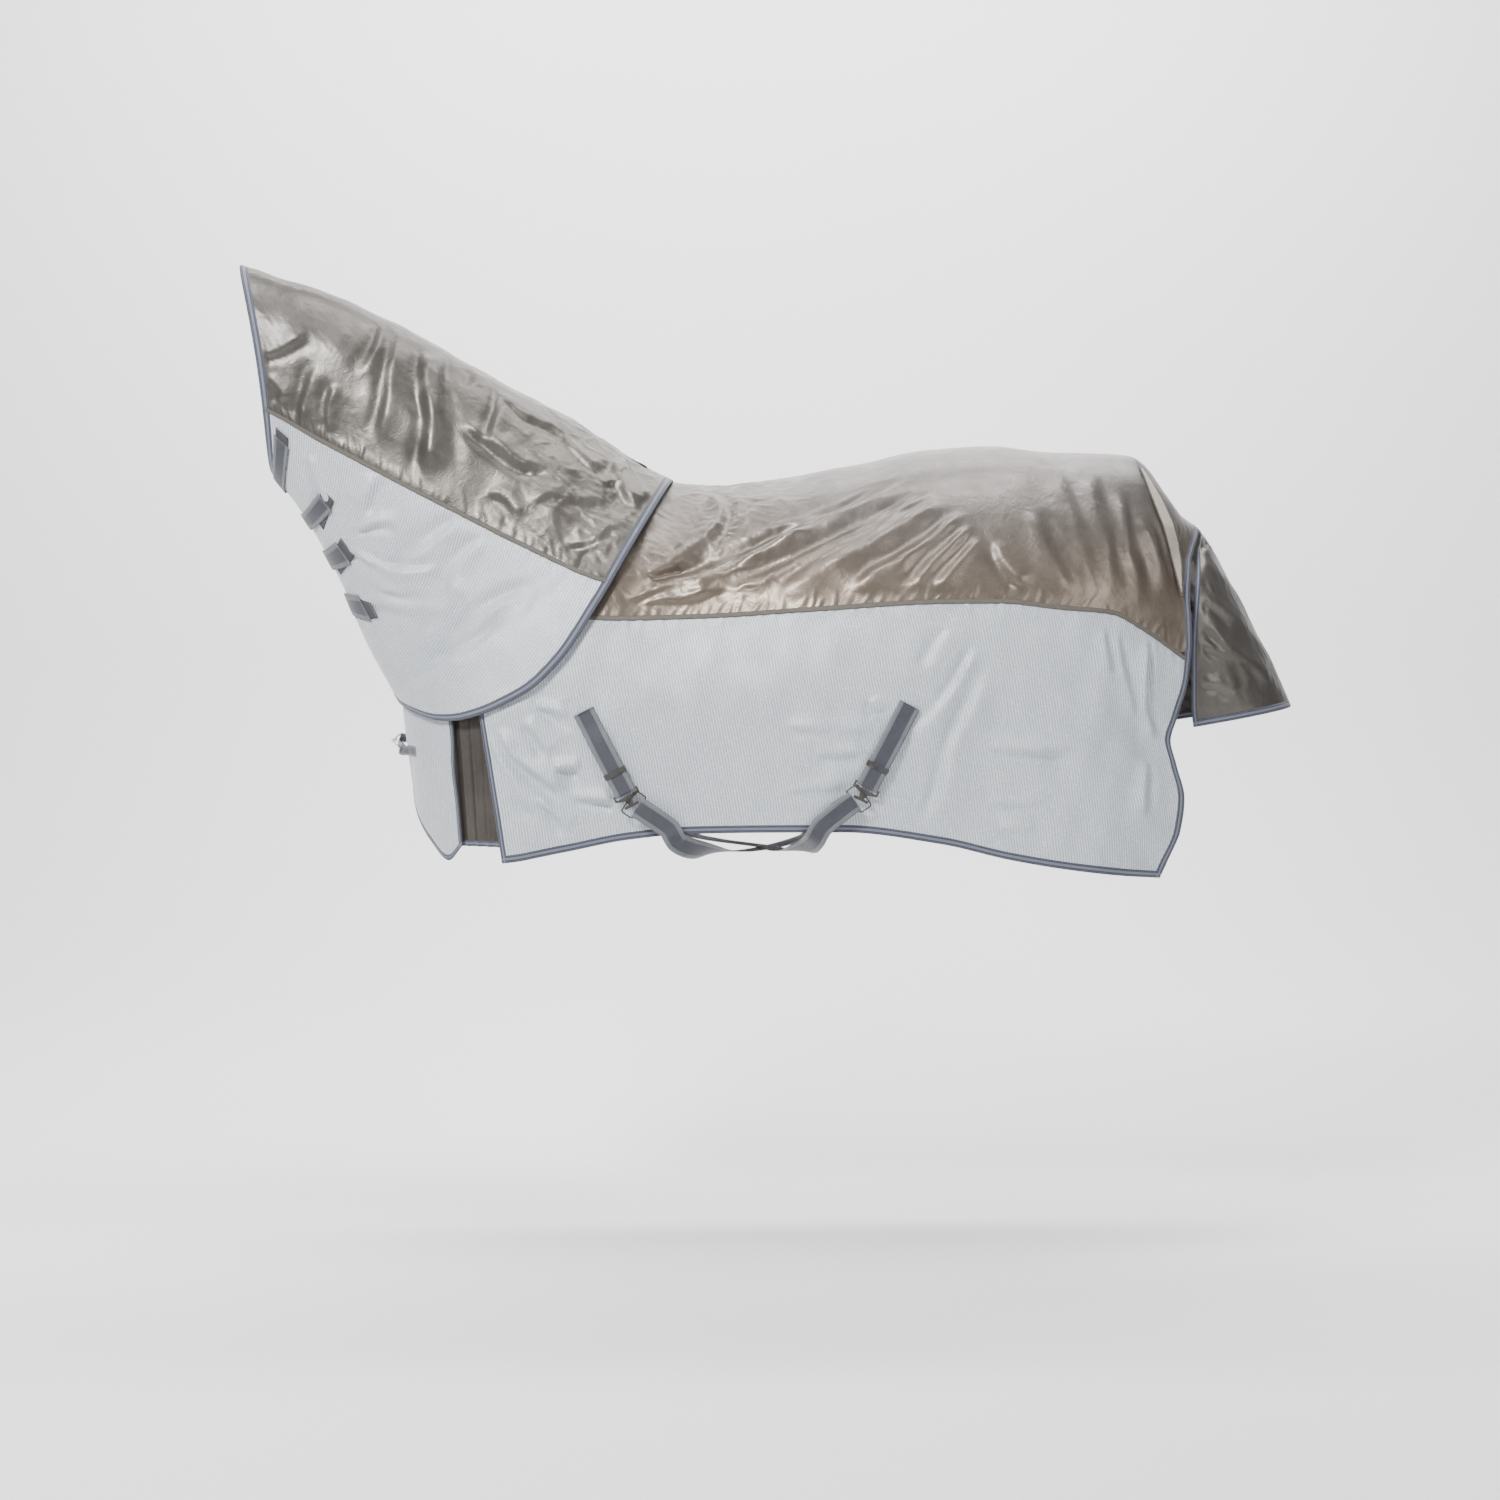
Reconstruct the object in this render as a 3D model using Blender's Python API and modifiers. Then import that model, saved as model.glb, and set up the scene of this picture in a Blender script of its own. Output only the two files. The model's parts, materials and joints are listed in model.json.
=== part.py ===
"""Fly sheet for a horse, in its worn shape: body sheet, neck cover, tail flap, crossed surcingles.

Origin at the withers, where the neck cover meets the back. -X runs to the head, +X to the tail,
+Z is up and the horse's left side, which carries the fastenings, is at -Y. Metres throughout.
"""
import math

import bpy
from mathutils import Matrix, Vector

# Driving sizes. The outlines below are a pattern drafted for the three DRAFTED sizes and are graded
# to these, as a rug maker grades a pattern from one horse size to the next.
BACK_LENGTH = 1.134
BARREL_WIDTH = 0.660
SIDE_DROP = 0.740
DRAFTED = (1.134, 0.660, 0.740)

CLOTH = 0.0020               # thickness of a panel, with its quilted-in slack
BINDING_WIDTH = 0.024
BINDING_THICKNESS = 0.0026
TAPE_WIDTH = 0.012           # the tape over a panel seam
TAPE_THICKNESS = 0.0010
WEBBING_WIDTH = 0.046
WEBBING = 0.0018             # thickness of the surcingle webbing
THROAT_STRAP_WIDTH = 0.048
THROAT_STRAP = 0.0016
PAD_THICKNESS = 0.0014       # hook-and-loop pad under each throat strap
CLEARANCE = 0.0003           # between pieces that touch
BUTT = 0.0006                # between edges that are sewn edge to edge
FACET = 0.0008               # room for flat facets on curved cloth
SEWN_ROOM = 0.0004           # the same under short webbing, which is sewn down at its ends
DOCK_ROOM = 0.0014           # the same over the sharp curve of the dock
APRON_ROOM = 0.011           # the neck cover's apron stands this far off the body sheet
PLEAT_DEPTH = 0.010          # how far the shoulder gusset is folded in

HOOK_PLATE = 0.0025
HOOK_BAR = 0.0030            # bar of the T-hook that the webbing is folded round
HOOK_SLOT = 0.0070
RECEIVER_WIRE = 0.0030       # diameter
SLIDE_LENGTH = 0.012
SLIDE_WALL = 0.0012
TAB_LENGTH = 0.190
TAB_STANDOFF = 0.0085        # middle of the doubled webbing above the cloth it is sewn to
CHEST_WEBBING_WIDTH = 0.022
RING_WIRE = 0.0032
SNAP_WIRE = 0.0042

GX = BACK_LENGTH / DRAFTED[0]
GY = BARREL_WIDTH / DRAFTED[1]
GZ = SIDE_DROP / DRAFTED[2]

# Body pattern, by distance along the horse (before grading). The chest wrap runs on past WRAP_START
# as arc length round the front, CHEST_LENGTH forward of it and CHEST_HALF_WIDTH to each side.
WRAP_START = -0.300
CHEST_LENGTH = 0.306
CHEST_HALF_WIDTH = 0.270
WRAP_ARC = 0.455
CHEST_SLOPE = 0.12
CHEST_SLOPE_TOP = -0.500
REAR = 1.134
TOP_START = -0.070
WARP_START = 0.800

TOPLINE = ((-0.755, -0.466), (-0.603, -0.448), (-0.452, -0.375), (-0.30, -0.258), (-0.20, -0.163),
           (-0.13, -0.078), (-0.07, 0.016), (-0.012, 0.0035), (0.044, -0.003), (0.163, 0.003),
           (0.358, 0.036), (0.554, 0.075), (0.690, 0.082), (0.820, 0.066), (0.92, 0.064),
           (0.977, 0.060), (1.007, 0.044), (1.05, -0.006), (1.095, -0.066), (1.134, -0.098))
NECKLINE_WIDTH = ((-0.755, 0.0), (-0.60, 0.118), (-0.452, 0.178), (-0.30, 0.200), (-0.20, 0.178),
                  (-0.13, 0.118), (-0.07, 0.0), (1.134, 0.0))
HALF_WIDTH = ((-0.30, 0.270), (-0.10, 0.282), (0.10, 0.300), (0.30, 0.325), (0.50, 0.329),
              (0.70, 0.320), (0.86, 0.298), (1.00, 0.255), (1.134, 0.200))
WIDEST = ((-0.755, -0.56), (-0.45, -0.53), (-0.30, -0.50), (0.0, -0.47), (0.4, -0.45), (0.8, -0.38),
          (1.134, -0.36))
ROUNDNESS = ((-0.755, 2.0), (-0.30, 1.9), (0.0, 1.55), (0.2, 1.75), (0.6, 2.15), (0.9, 2.3),
             (1.134, 2.0))
HEM_INWARD = ((-0.755, 0.0), (-0.30, 0.012), (0.1, 0.020), (0.5, 0.022), (0.8, 0.0), (1.134, -0.02))
SEAM = ((-0.31, -0.278), (-0.12, -0.291), (0.05, -0.287), (0.30, -0.271), (0.55, -0.256),
        (0.67, -0.255), (0.80, -0.268), (0.92, -0.278), (1.0, -0.310), (1.134, -0.385))
HEM = ((-0.43, -0.812), (-0.365, -0.808), (-0.24, -0.785), (-0.10, -0.757), (0.03, -0.744),
       (0.35, -0.738), (0.55, -0.762), (0.70, -0.796), (0.85, -0.820), (1.134, -0.843))
REAR_EDGE = ((-0.098, 1.134), (-0.144, 1.108), (-0.174, 1.096), (-0.25, 1.090), (-0.33, 1.092),
             (-0.42, 1.084), (-0.50, 1.062), (-0.55, 1.046), (-0.60, 1.060), (-0.67, 1.077),
             (-0.74, 1.070), (-0.80, 1.044), (-0.843, 1.024))
STATIONS = (-0.37, -0.31, -0.25, -0.19, -0.13, -0.07, -0.012, 0.06, 0.14, 0.22, 0.31, 0.40, 0.49,
            0.58, 0.67, 0.76, 0.84, 0.91, 0.96, 0.995, 1.025, 1.055, 1.083)
PANEL_FRONT = (-0.430, -0.377)      # the side panel's front edge, at its top and at its hem
FLAP_FRONT = -0.747
FLAP_REAR = -0.474
FLAP_HEM = ((-0.747, -0.650), (-0.730, -0.682), (-0.690, -0.714), (-0.651, -0.739),
            (-0.59, -0.775), (-0.526, -0.809), (-0.474, -0.774))
GUSSET = (-0.492, -0.360)
GUSSET_HEM = -0.777

# Neck cover: crest and throat lines by share of their length from the poll to the apron's edge.
CREST = ((0.0, -0.956, 0.475), (0.2, -0.760, 0.411), (0.4, -0.571, 0.325), (0.6, -0.384, 0.219),
         (0.8, -0.195, 0.116), (0.92, -0.084, 0.043), (1.0, -0.012, 0.0062))
THROAT = ((0.0, -0.892, 0.026), (0.2, -0.835, -0.048), (0.4, -0.785, -0.130), (0.6, -0.735, -0.228),
          (0.8, -0.690, -0.340), (1.0, -0.619, -0.473))
NECK_HALF_WIDTH = ((0.0, 0.098), (0.3, 0.118), (0.5, 0.140), (0.7, 0.172), (0.85, 0.210),
                   (1.0, 0.250))
POLL_BULGE = 0.020
APRON_BULGE = ((0.0, 0.0), (0.1, 0.033), (0.2, 0.065), (0.37, 0.119), (0.555, 0.164), (0.64, 0.171),
               (0.75, 0.158), (0.84, 0.135), (0.91, 0.100), (0.96, 0.052), (1.0, 0.0))
APRON_START = 0.45
NECK_SEAM = ((0.0, 0.700), (0.25, 0.640), (0.5, 0.560), (0.75, 0.430), (0.9, 0.345), (1.0, 0.302))
NECK_COLUMNS = 13
UPPER_ROWS = 5
MESH_ROWS = 9
THROAT_GAP = 0.004           # half the gap between the two throat edges
# Throat straps: where each one's middle lies along the throat line and at its free end, and how far
# round the neck that end lies, as a share of the way from the crest.
THROAT_STRAPS = ((0.075, 0.10, 0.69), (0.28, 0.375, 0.73), (0.47, 0.525, 0.80), (0.658, 0.688, 0.855))
STRAP_SEWN_ANGLE = 0.42      # how far round the right side each strap is sewn

# Tail flap: ridge line and side edge, top to bottom.
FLAP_RIDGE = ((0.0, 1.1345, -0.0984), (0.25, 1.203, -0.211), (0.55, 1.270, -0.335),
              (0.85, 1.325, -0.445), (1.0, 1.342, -0.486))
FLAP_SIDE = ((0.0, 1.118, 0.095, -0.146), (0.25, 1.099, 0.162, -0.240), (0.6, 1.091, 0.166, -0.380),
             (0.85, 1.093, 0.154, -0.475), (1.0, 1.100, 0.143, -0.527))
# Tail gusset wedge on each side of the dock: station and height of its front and rear boundary.
WEDGE_FRONT = ((0.0, 0.988, 0.027), (0.35, 1.008, -0.050), (0.65, 1.034, -0.130), (1.0, 1.064, -0.245))
WEDGE_REAR = ((0.0, 0.998, 0.026), (0.35, 1.036, -0.053), (0.65, 1.063, -0.134), (1.0, 1.080, -0.249))

# Surcingles: top of each sewn tab on the left side, and the slope of the tab.
TAB_TOPS = {"front": (-0.194, -0.485), "rear": (0.485, -0.469)}
TAB_SLOPE = 0.52             # run along the horse for each metre down
UNDER_BELLY = -0.796
CROSSING = 0.190
HINGE_HEIGHT = -0.766        # where the belly straps bend round the far hem
BELLY_LEAN = 0.85            # forward lean of a belly strap below its hook
BELLY_HEM_RUN = 0.050        # from the receiver to the hem, along the horse
BELLY_ROOM = 0.45            # how far outside the hem a belly strap passes, in webbing widths

# Chest fastening: the eye's bar in front of the left flap, and the ways the snap and the ring lie.
EYE_BAR = (0.0, -0.028, -0.578)
CHEST_STANDOFF = 0.012
SNAP_WAY = Vector((-0.45, 0.80, 0.38))
RING_WAY = Vector((0.50, 0.85, 0.05))
SNAP_BIGHT = 0.0405
RING_REACH = 0.021


def between(a, b, share):
    """The value a share of the way from a to b."""
    return a + (b - a) * share


def ramp(value, start, end):
    """Smooth step from 0 at start to 1 at end."""
    t = min(1.0, max(0.0, (value - start) / (end - start)))
    return t * t * (3 - 2 * t)


def curve_through(table, column=1):
    """A smooth function through a table's points, without overshoot (monotone cubic)."""
    xs = [row[0] for row in table]
    ys = [row[column] for row in table]
    if xs[0] > xs[-1]:
        xs.reverse()
        ys.reverse()
    slopes = [(ys[i + 1] - ys[i]) / (xs[i + 1] - xs[i]) for i in range(len(xs) - 1)]
    ends = [slopes[0]]
    for before, after in zip(slopes, slopes[1:]):
        ends.append(0.0 if before * after <= 0 else 2 * before * after / (before + after))
    ends.append(slopes[-1])

    def value(x):
        x = min(xs[-1], max(xs[0], x))
        i = 0
        while i < len(slopes) - 1 and x > xs[i + 1]:
            i += 1
        span = xs[i + 1] - xs[i]
        t = (x - xs[i]) / span
        return ((2 * t ** 3 - 3 * t ** 2 + 1) * ys[i] + (t ** 3 - 2 * t ** 2 + t) * span * ends[i]
                + (3 * t ** 2 - 2 * t ** 3) * ys[i + 1] + (t ** 3 - t ** 2) * span * ends[i + 1])

    return value


def graded(table, scales):
    """A pattern table at the chosen size."""
    return tuple(tuple(v * s for v, s in zip(row, scales)) for row in table)


top_height = curve_through(graded(TOPLINE, (GX, GZ)))
neckline_width = curve_through(graded(NECKLINE_WIDTH, (GX, GY)))
half_width = curve_through(graded(HALF_WIDTH, (GX, GY)))
widest_height = curve_through(graded(WIDEST, (GX, GZ)))
roundness = curve_through(graded(ROUNDNESS, (GX, 1)))
hem_inward = curve_through(graded(HEM_INWARD, (GX, GY)))
seam_height = curve_through(graded(SEAM, (GX, GZ)))
hem_height = curve_through(graded(HEM, (GX, GZ)))
rear_edge = curve_through(graded(REAR_EDGE, (GZ, GX)))
flap_hem = curve_through(graded(FLAP_HEM, (GX, GZ)))
crest_x, crest_z = (curve_through(graded(CREST, (1, GX, GZ)), c) for c in (1, 2))
throat_x, throat_z = (curve_through(graded(THROAT, (1, GX, GZ)), c) for c in (1, 2))
neck_half_width = curve_through(graded(NECK_HALF_WIDTH, (1, GY)))
apron_bulge = curve_through(graded(APRON_BULGE, (1, (GX * GZ) ** 0.5)))
neck_seam = curve_through(NECK_SEAM)
ridge_x, ridge_z = (curve_through(graded(FLAP_RIDGE, (1, GX, GZ)), c) for c in (1, 2))
wedge_front, wedge_rear = (
    [curve_through(graded(table, (1, GX, GZ)), c) for c in (1, 2)] for table in (WEDGE_FRONT, WEDGE_REAR))
side_x, side_y, side_z = (curve_through(graded(FLAP_SIDE, (1, GX, GY, GZ)), c) for c in (1, 2, 3))
wrap_start, rear, top_start = (v * GX for v in (WRAP_START, REAR, TOP_START))
wrap_arc, chest_length = WRAP_ARC * GX, CHEST_LENGTH * GX
chest_half_width = CHEST_HALF_WIDTH * GY


# ---------------------------------------------------------------- surfaces of the worn sheet

def section(u):
    """Half width, neckline width, top, widest and hem heights of the section at station u."""
    turn = max(0.0, (wrap_start - u) / wrap_arc) * math.pi / 2
    width = chest_half_width * math.cos(turn) if turn > 0 else half_width(u)
    neck = min(neckline_width(u), width)
    return turn, width, neck, top_height(u), widest_height(u)


def body_point(u, z, side, lift=0.0):
    """Point of the body sheet at station u and height z, lifted off along its normal."""
    if lift:
        step = 0.004
        here = body_point(u, z, side)
        along = body_point(u + step, z, side) - body_point(u - step, z, side)
        down = body_point(u, z - step, side) - body_point(u, min(z + step, top_height(u)), side)
        normal = along.cross(down).normalized()
        if normal.y * side < 0:
            normal.negate()
        return here + normal * lift
    turn, width, neck, top, widest = section(u)
    if z >= widest:
        rise = min(1.0, (z - widest) / (top - widest))
        n = roundness(u)
        y = neck + (width - neck) * max(0.0, 1 - rise ** n) ** (1 / n)
    else:
        fall = (widest - z) / (widest - hem_height(u))
        y = width - hem_inward(u) * max(0.0, fall) ** 1.5
    if turn > 0:
        slope = CHEST_SLOPE * GX / GZ * max(0.0, CHEST_SLOPE_TOP * GZ - z)
        x = wrap_start - (chest_length - slope) * math.sin(turn)
    else:
        x = u + ramp(u, WARP_START * GX, rear) * (rear_edge(z) - rear)
    return Vector((x, side * y, z))


def height_at(u, share):
    """Height a share of the way down the rounded top of the section, even in angle."""
    top, widest = top_height(u), widest_height(u)
    return widest + (top - widest) * math.cos(share * math.pi / 2) ** (2 / roundness(u))


def share_at(u, z):
    """The share that height_at turns into z."""
    top, widest = top_height(u), widest_height(u)
    rise = min(1.0, max(0.0, (z - widest) / (top - widest)))
    return math.acos(rise ** (roundness(u) / 2)) * 2 / math.pi


def body_half_width(x, z, margin):
    """Half width of the body sheet at x and z, grown outward by a margin, for what lies over it."""
    if x >= wrap_start:
        u, width = x, half_width(x) + margin
    else:
        forward = (wrap_start - x) / (chest_length + margin)
        if forward >= 1:
            return 0.0
        u = wrap_start - wrap_arc * math.asin(forward) * 2 / math.pi
        width = (chest_half_width + margin) * math.sqrt(1 - forward ** 2)
    neck, widest = neckline_width(u), widest_height(u)
    neck = min(width, neck + margin) if neck > 0 else 0.0
    top = top_height(u) + margin
    if z <= widest:
        return width
    rise = (z - widest) / (top - widest)
    if rise < 1:
        n = roundness(u)
        return neck + (width - neck) * (1 - rise ** n) ** (1 / n)
    return neck * max(0.0, 1 - (z - top) / (0.09 * GZ))


def neck_point(t, angle, side, lift=0.0):
    """Point of the neck cover: t from poll to apron edge, angle from the crest to the throat."""
    if lift:
        step = 0.01
        here = neck_point(t, angle, side)
        along = neck_point(min(1, t + step), angle, side) - neck_point(t - step, angle, side)
        round_ = neck_point(t, min(math.pi, angle + step), side) - neck_point(t, angle - step, side)
        normal = along.cross(round_).normalized()
        if normal.y * side < 0:
            normal.negate()
        return here + normal * lift
    crest = Vector((crest_x(t), crest_z(t)))
    throat = Vector((throat_x(t), throat_z(t)))
    q = (1 - math.cos(angle)) / 2
    chord = throat - crest
    out = Vector((-chord.y, chord.x)).normalized()
    flat = crest + chord * q + out * apron_bulge(q) * ramp(t, APRON_START, 1.0)
    flat += Vector((POLL_BULGE * GX * (1 - ramp(t, 0.0, 0.3)) * math.sin(angle) ** 2, 0))
    ring = math.sin(angle)
    y = neck_half_width(t) * ring
    seat = math.hypot(flat.x - crest_x(1.0), flat.y - crest_z(1.0))
    margin = min(APRON_ROOM, CLOTH + CLEARANCE + 0.35 * seat)
    body = body_half_width(flat.x, flat.y, margin) * ramp(t, 0.55, 0.8)
    soft = 0.02 * ring
    y = 0.5 * (y + body + math.sqrt((y - body) ** 2 + soft ** 2))
    return Vector((flat.x, side * y, flat.y))


def tail_point(s, across):
    """Point of the tail flap: s from its root to its lower edge, across from -1 to 1."""
    angle = abs(across) * math.pi / 2
    ridge = Vector((ridge_x(s), 0, ridge_z(s)))
    edge = Vector((side_x(s), 0, side_z(s)))
    point = edge + (ridge - edge) * math.cos(angle)
    point.y = math.copysign(side_y(s) * math.sin(angle), across)
    return point


def solve(distance, low, high, tries=30):
    """Bisect for where a falling distance function reaches zero."""
    for _ in range(tries):
        middle = (low + high) / 2
        if distance(middle) > 0:
            low = middle
        else:
            high = middle
    return (low + high) / 2


# ---------------------------------------------------------------- making objects

for old in list(bpy.data.objects):
    bpy.data.objects.remove(old, do_unlink=True)

parts = bpy.data.collections.new("fly_sheet")
bpy.context.scene.collection.children.link(parts)
pivots = {}


def pivot(name, location):
    """An empty on a joint's axis, to carry the pieces that move about it."""
    empty = bpy.data.objects.new(name, None)
    empty.location = location
    empty.empty_display_size = 0.05
    parts.objects.link(empty)
    pivots[name] = empty
    return empty


def finish(name, colour, roughness, metallic=0.0):
    """A Principled material for one piece."""
    material = bpy.data.materials.new(name)
    material.use_nodes = True
    shader = material.node_tree.nodes["Principled BSDF"]
    shader.inputs["Base Color"].default_value = (*colour, 1.0)
    shader.inputs["Roughness"].default_value = roughness
    shader.inputs["Metallic"].default_value = metallic
    return material


TAUPE = ((0.30, 0.26, 0.21), 0.35)
MESH = ((0.68, 0.71, 0.74), 0.60)
EDGE = ((0.10, 0.11, 0.15), 0.60)
BAND = ((0.13, 0.13, 0.17), 0.70)
HOOK_TAPE = ((0.02, 0.02, 0.02), 0.90)
CREAM = ((0.55, 0.50, 0.42), 0.60)
CHROME = ((0.75, 0.75, 0.77), 0.20, 1.0)


def place(obj, look, carrier, matrix=None):
    """Link a piece, colour it and hang it on its pivot."""
    parts.objects.link(obj)
    obj.data.materials.append(finish(obj.name, *look))
    matrix = matrix or Matrix.Identity(4)
    if carrier:
        obj.parent = pivots[carrier]
        matrix = Matrix.Translation(-pivots[carrier].location) @ matrix
        if obj.type == "MESH":
            obj.data.transform(matrix)
            return obj
    obj.matrix_basis = matrix
    return obj


def sheet(name, rows, thickness, look, carrier=None):
    """A cloth piece: an open grid of points, made solid by its thickness."""
    wide = len(rows[0])
    points = [p for row in rows for p in row]
    faces = [(r * wide + c, r * wide + c + 1, (r + 1) * wide + c + 1, (r + 1) * wide + c)
             for r in range(len(rows) - 1) for c in range(wide - 1)]
    mesh = bpy.data.meshes.new(name)
    mesh.from_pydata(points, [], faces)
    mesh.shade_smooth()
    obj = bpy.data.objects.new(name, mesh)
    solid = obj.modifiers.new("thickness", "SOLIDIFY")
    solid.thickness = thickness
    solid.offset = 0.0
    solid.use_even_offset = True
    return place(obj, look, carrier)


def wire(name, points, diameter, closed, look, carrier=None, matrix=None, radii=None):
    """A bent wire or bar."""
    curve = bpy.data.curves.new(name, "CURVE")
    curve.dimensions = "3D"
    curve.bevel_depth = diameter / 2
    curve.bevel_resolution = 2
    curve.use_fill_caps = True
    spline = curve.splines.new("POLY")
    spline.points.add(len(points) - 1)
    for i, point in enumerate(points):
        spline.points[i].co = (*point, 1)
        spline.points[i].radius = radii[i] if radii else 1.0
    spline.use_cyclic_u = closed
    return place(bpy.data.objects.new(name, curve), look, carrier, matrix)


def plate(name, outlines, thickness, look, carrier=None, matrix=None):
    """A flat stamping; outlines after the first are its holes."""
    curve = bpy.data.curves.new(name, "CURVE")
    curve.dimensions = "2D"
    curve.fill_mode = "BOTH"
    curve.extrude = thickness / 2
    for outline in outlines:
        spline = curve.splines.new("POLY")
        spline.points.add(len(outline) - 1)
        for i, (x, y) in enumerate(outline):
            spline.points[i].co = (x, y, 0, 1)
        spline.use_cyclic_u = True
    return place(bpy.data.objects.new(name, curve), look, carrier, matrix)


def frame_at(origin, up, outward):
    """Matrix of a local frame: X across, Y up along the strap, Z outward."""
    up = up.normalized()
    outward = (outward - up * outward.dot(up)).normalized()
    across = up.cross(outward)
    matrix = Matrix((across, up, outward)).transposed().to_4x4()
    matrix.translation = origin
    return matrix


def rounded_rectangle(wide, high, radius, corner_steps=3):
    """Outline of a rounded rectangle about the origin, anticlockwise."""
    points = []
    for sx, sy, start in ((1, -1, -90), (1, 1, 0), (-1, 1, 90), (-1, -1, 180)):
        for k in range(corner_steps + 1):
            a = math.radians(start + 90 * k / corner_steps)
            points.append((sx * (wide / 2 - radius) + radius * math.cos(a),
                           sy * (high / 2 - radius) + radius * math.sin(a)))
    return points


SIDES = {"left": -1, "right": 1}


# ---------------------------------------------------------------- body sheet

def back_and_sides():
    """The taupe back panel, the two mesh side panels and the tape over each seam."""
    back_rows = 7
    side_rows = 8
    panel_end = rear - BINDING_WIDTH - BUTT
    stations = [u * GX for u in STATIONS] + [panel_end]
    back = [u for u in stations if u > -0.311 * GX]
    rows = []
    half_gap = BUTT / 2
    for u in back:
        last = share_at(u, seam_height(u) + half_gap)
        shares = [last * j / back_rows for j in range(back_rows + 1)]
        heights = [height_at(u, share) for share in shares]
        left = [body_point(u, z, -1) for z in reversed(heights)]
        right = [body_point(u, z, 1) for z in heights]
        if u >= top_start - 1e-6:
            right = right[1:]
        rows.append((left, right))
    # In front of the withers the neck opening splits the panel, so that stretch is a wing each side.
    whole = [left + right for left, right in rows if len(left) != len(right)]
    wings = [(left, right) for left, right in rows if len(left) == len(right)]
    first_left = whole[0][:back_rows + 1]
    first_right = whole[0][back_rows:]
    points, faces = [], []

    def add_grid(grid):
        index = {}
        for r, row in enumerate(grid):
            for c, p in enumerate(row):
                key = next((k for k, q in enumerate(points) if (q - p).length < 1e-7), None)
                if key is None:
                    points.append(p)
                    key = len(points) - 1
                index[r, c] = key
        for r in range(len(grid) - 1):
            for c in range(len(grid[0]) - 1):
                faces.append((index[r, c], index[r, c + 1], index[r + 1, c + 1], index[r + 1, c]))

    add_grid(whole)
    add_grid([left for left, _ in wings] + [first_left])
    add_grid([right for _, right in wings] + [first_right])
    mesh = bpy.data.meshes.new("back_panel")
    mesh.from_pydata(points, [], faces)
    mesh.shade_smooth()
    panel = bpy.data.objects.new("back_panel", mesh)
    solid = panel.modifiers.new("thickness", "SOLIDIFY")
    solid.thickness = CLOTH
    solid.offset = 0.0
    solid.use_even_offset = True
    place(panel, TAUPE, None)

    first = PANEL_FRONT[0] * GX + BINDING_WIDTH + BUTT
    columns = [first] + stations
    for name, side in SIDES.items():
        rows = []
        for j in range(side_rows + 1):
            down = j / side_rows
            row = []
            for u in columns:
                slide = (PANEL_FRONT[1] - PANEL_FRONT[0]) * GX * down
                station = u + slide * (1 - ramp(u, -0.40 * GX, -0.15 * GX))
                low = hem_height(station) + BINDING_WIDTH + BUTT
                high = seam_height(u) - half_gap if u > -0.311 * GX else top_height(u)
                row.append(body_point(station, between(high, low, down), side))
            rows.append(row)
        sheet(f"side_mesh_{name}", rows, CLOTH, MESH)
        tape = []
        lift = CLOTH / 2 + CLEARANCE + TAPE_THICKNESS / 2
        for step in (-0.5, 0.5):
            tape.append([body_point(u, seam_height(u) + step * TAPE_WIDTH, side, lift)
                         for u in back[1:]])
        sheet(f"panel_seam_tape_{name}", tape, TAPE_THICKNESS, TAUPE)


def body_bindings():
    """The three-stripe binding along the hem, the rear edge and the side panels' front edges."""
    panel_end = rear - BINDING_WIDTH - BUTT
    front = PANEL_FRONT[1] * GX
    hem_columns = [front, front + BINDING_WIDTH] + [u * GX for u in STATIONS[1:]] + [panel_end, rear]
    for name, side in SIDES.items():
        rows = [[body_point(u, hem_height(u) + up, side) for u in hem_columns]
                for up in (BINDING_WIDTH, 0.0)]
        sheet(f"hem_binding_{name}", rows, BINDING_THICKNESS, EDGE)
        steps = 8
        rows = []
        for j in range(steps + 1):
            down = j / steps
            edge = between(PANEL_FRONT[0], PANEL_FRONT[1], down) * GX
            high = top_height(PANEL_FRONT[0] * GX + BINDING_WIDTH)
            low = hem_height(edge + BINDING_WIDTH) + BINDING_WIDTH + BUTT
            z = between(high, low, down)
            rows.append([body_point(u, z, side) for u in (edge, edge + BINDING_WIDTH)])
        sheet(f"front_edge_binding_{name}", rows, BINDING_THICKNESS, EDGE)
    rows = []
    for u in (rear - BINDING_WIDTH, rear):
        shares = [share_at(u, seam_height(u)) * j / 7 for j in range(8)]
        heights = [height_at(u, share) for share in shares]
        low = hem_height(u) + BINDING_WIDTH + BUTT
        heights += [between(seam_height(u), low, j / 8) for j in range(1, 9)]
        left = [body_point(u, z, -1) for z in reversed(heights)]
        rows.append(left + [body_point(u, z, 1) for z in heights[1:]])
    sheet("rear_binding", rows, BINDING_THICKNESS, EDGE)


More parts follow.
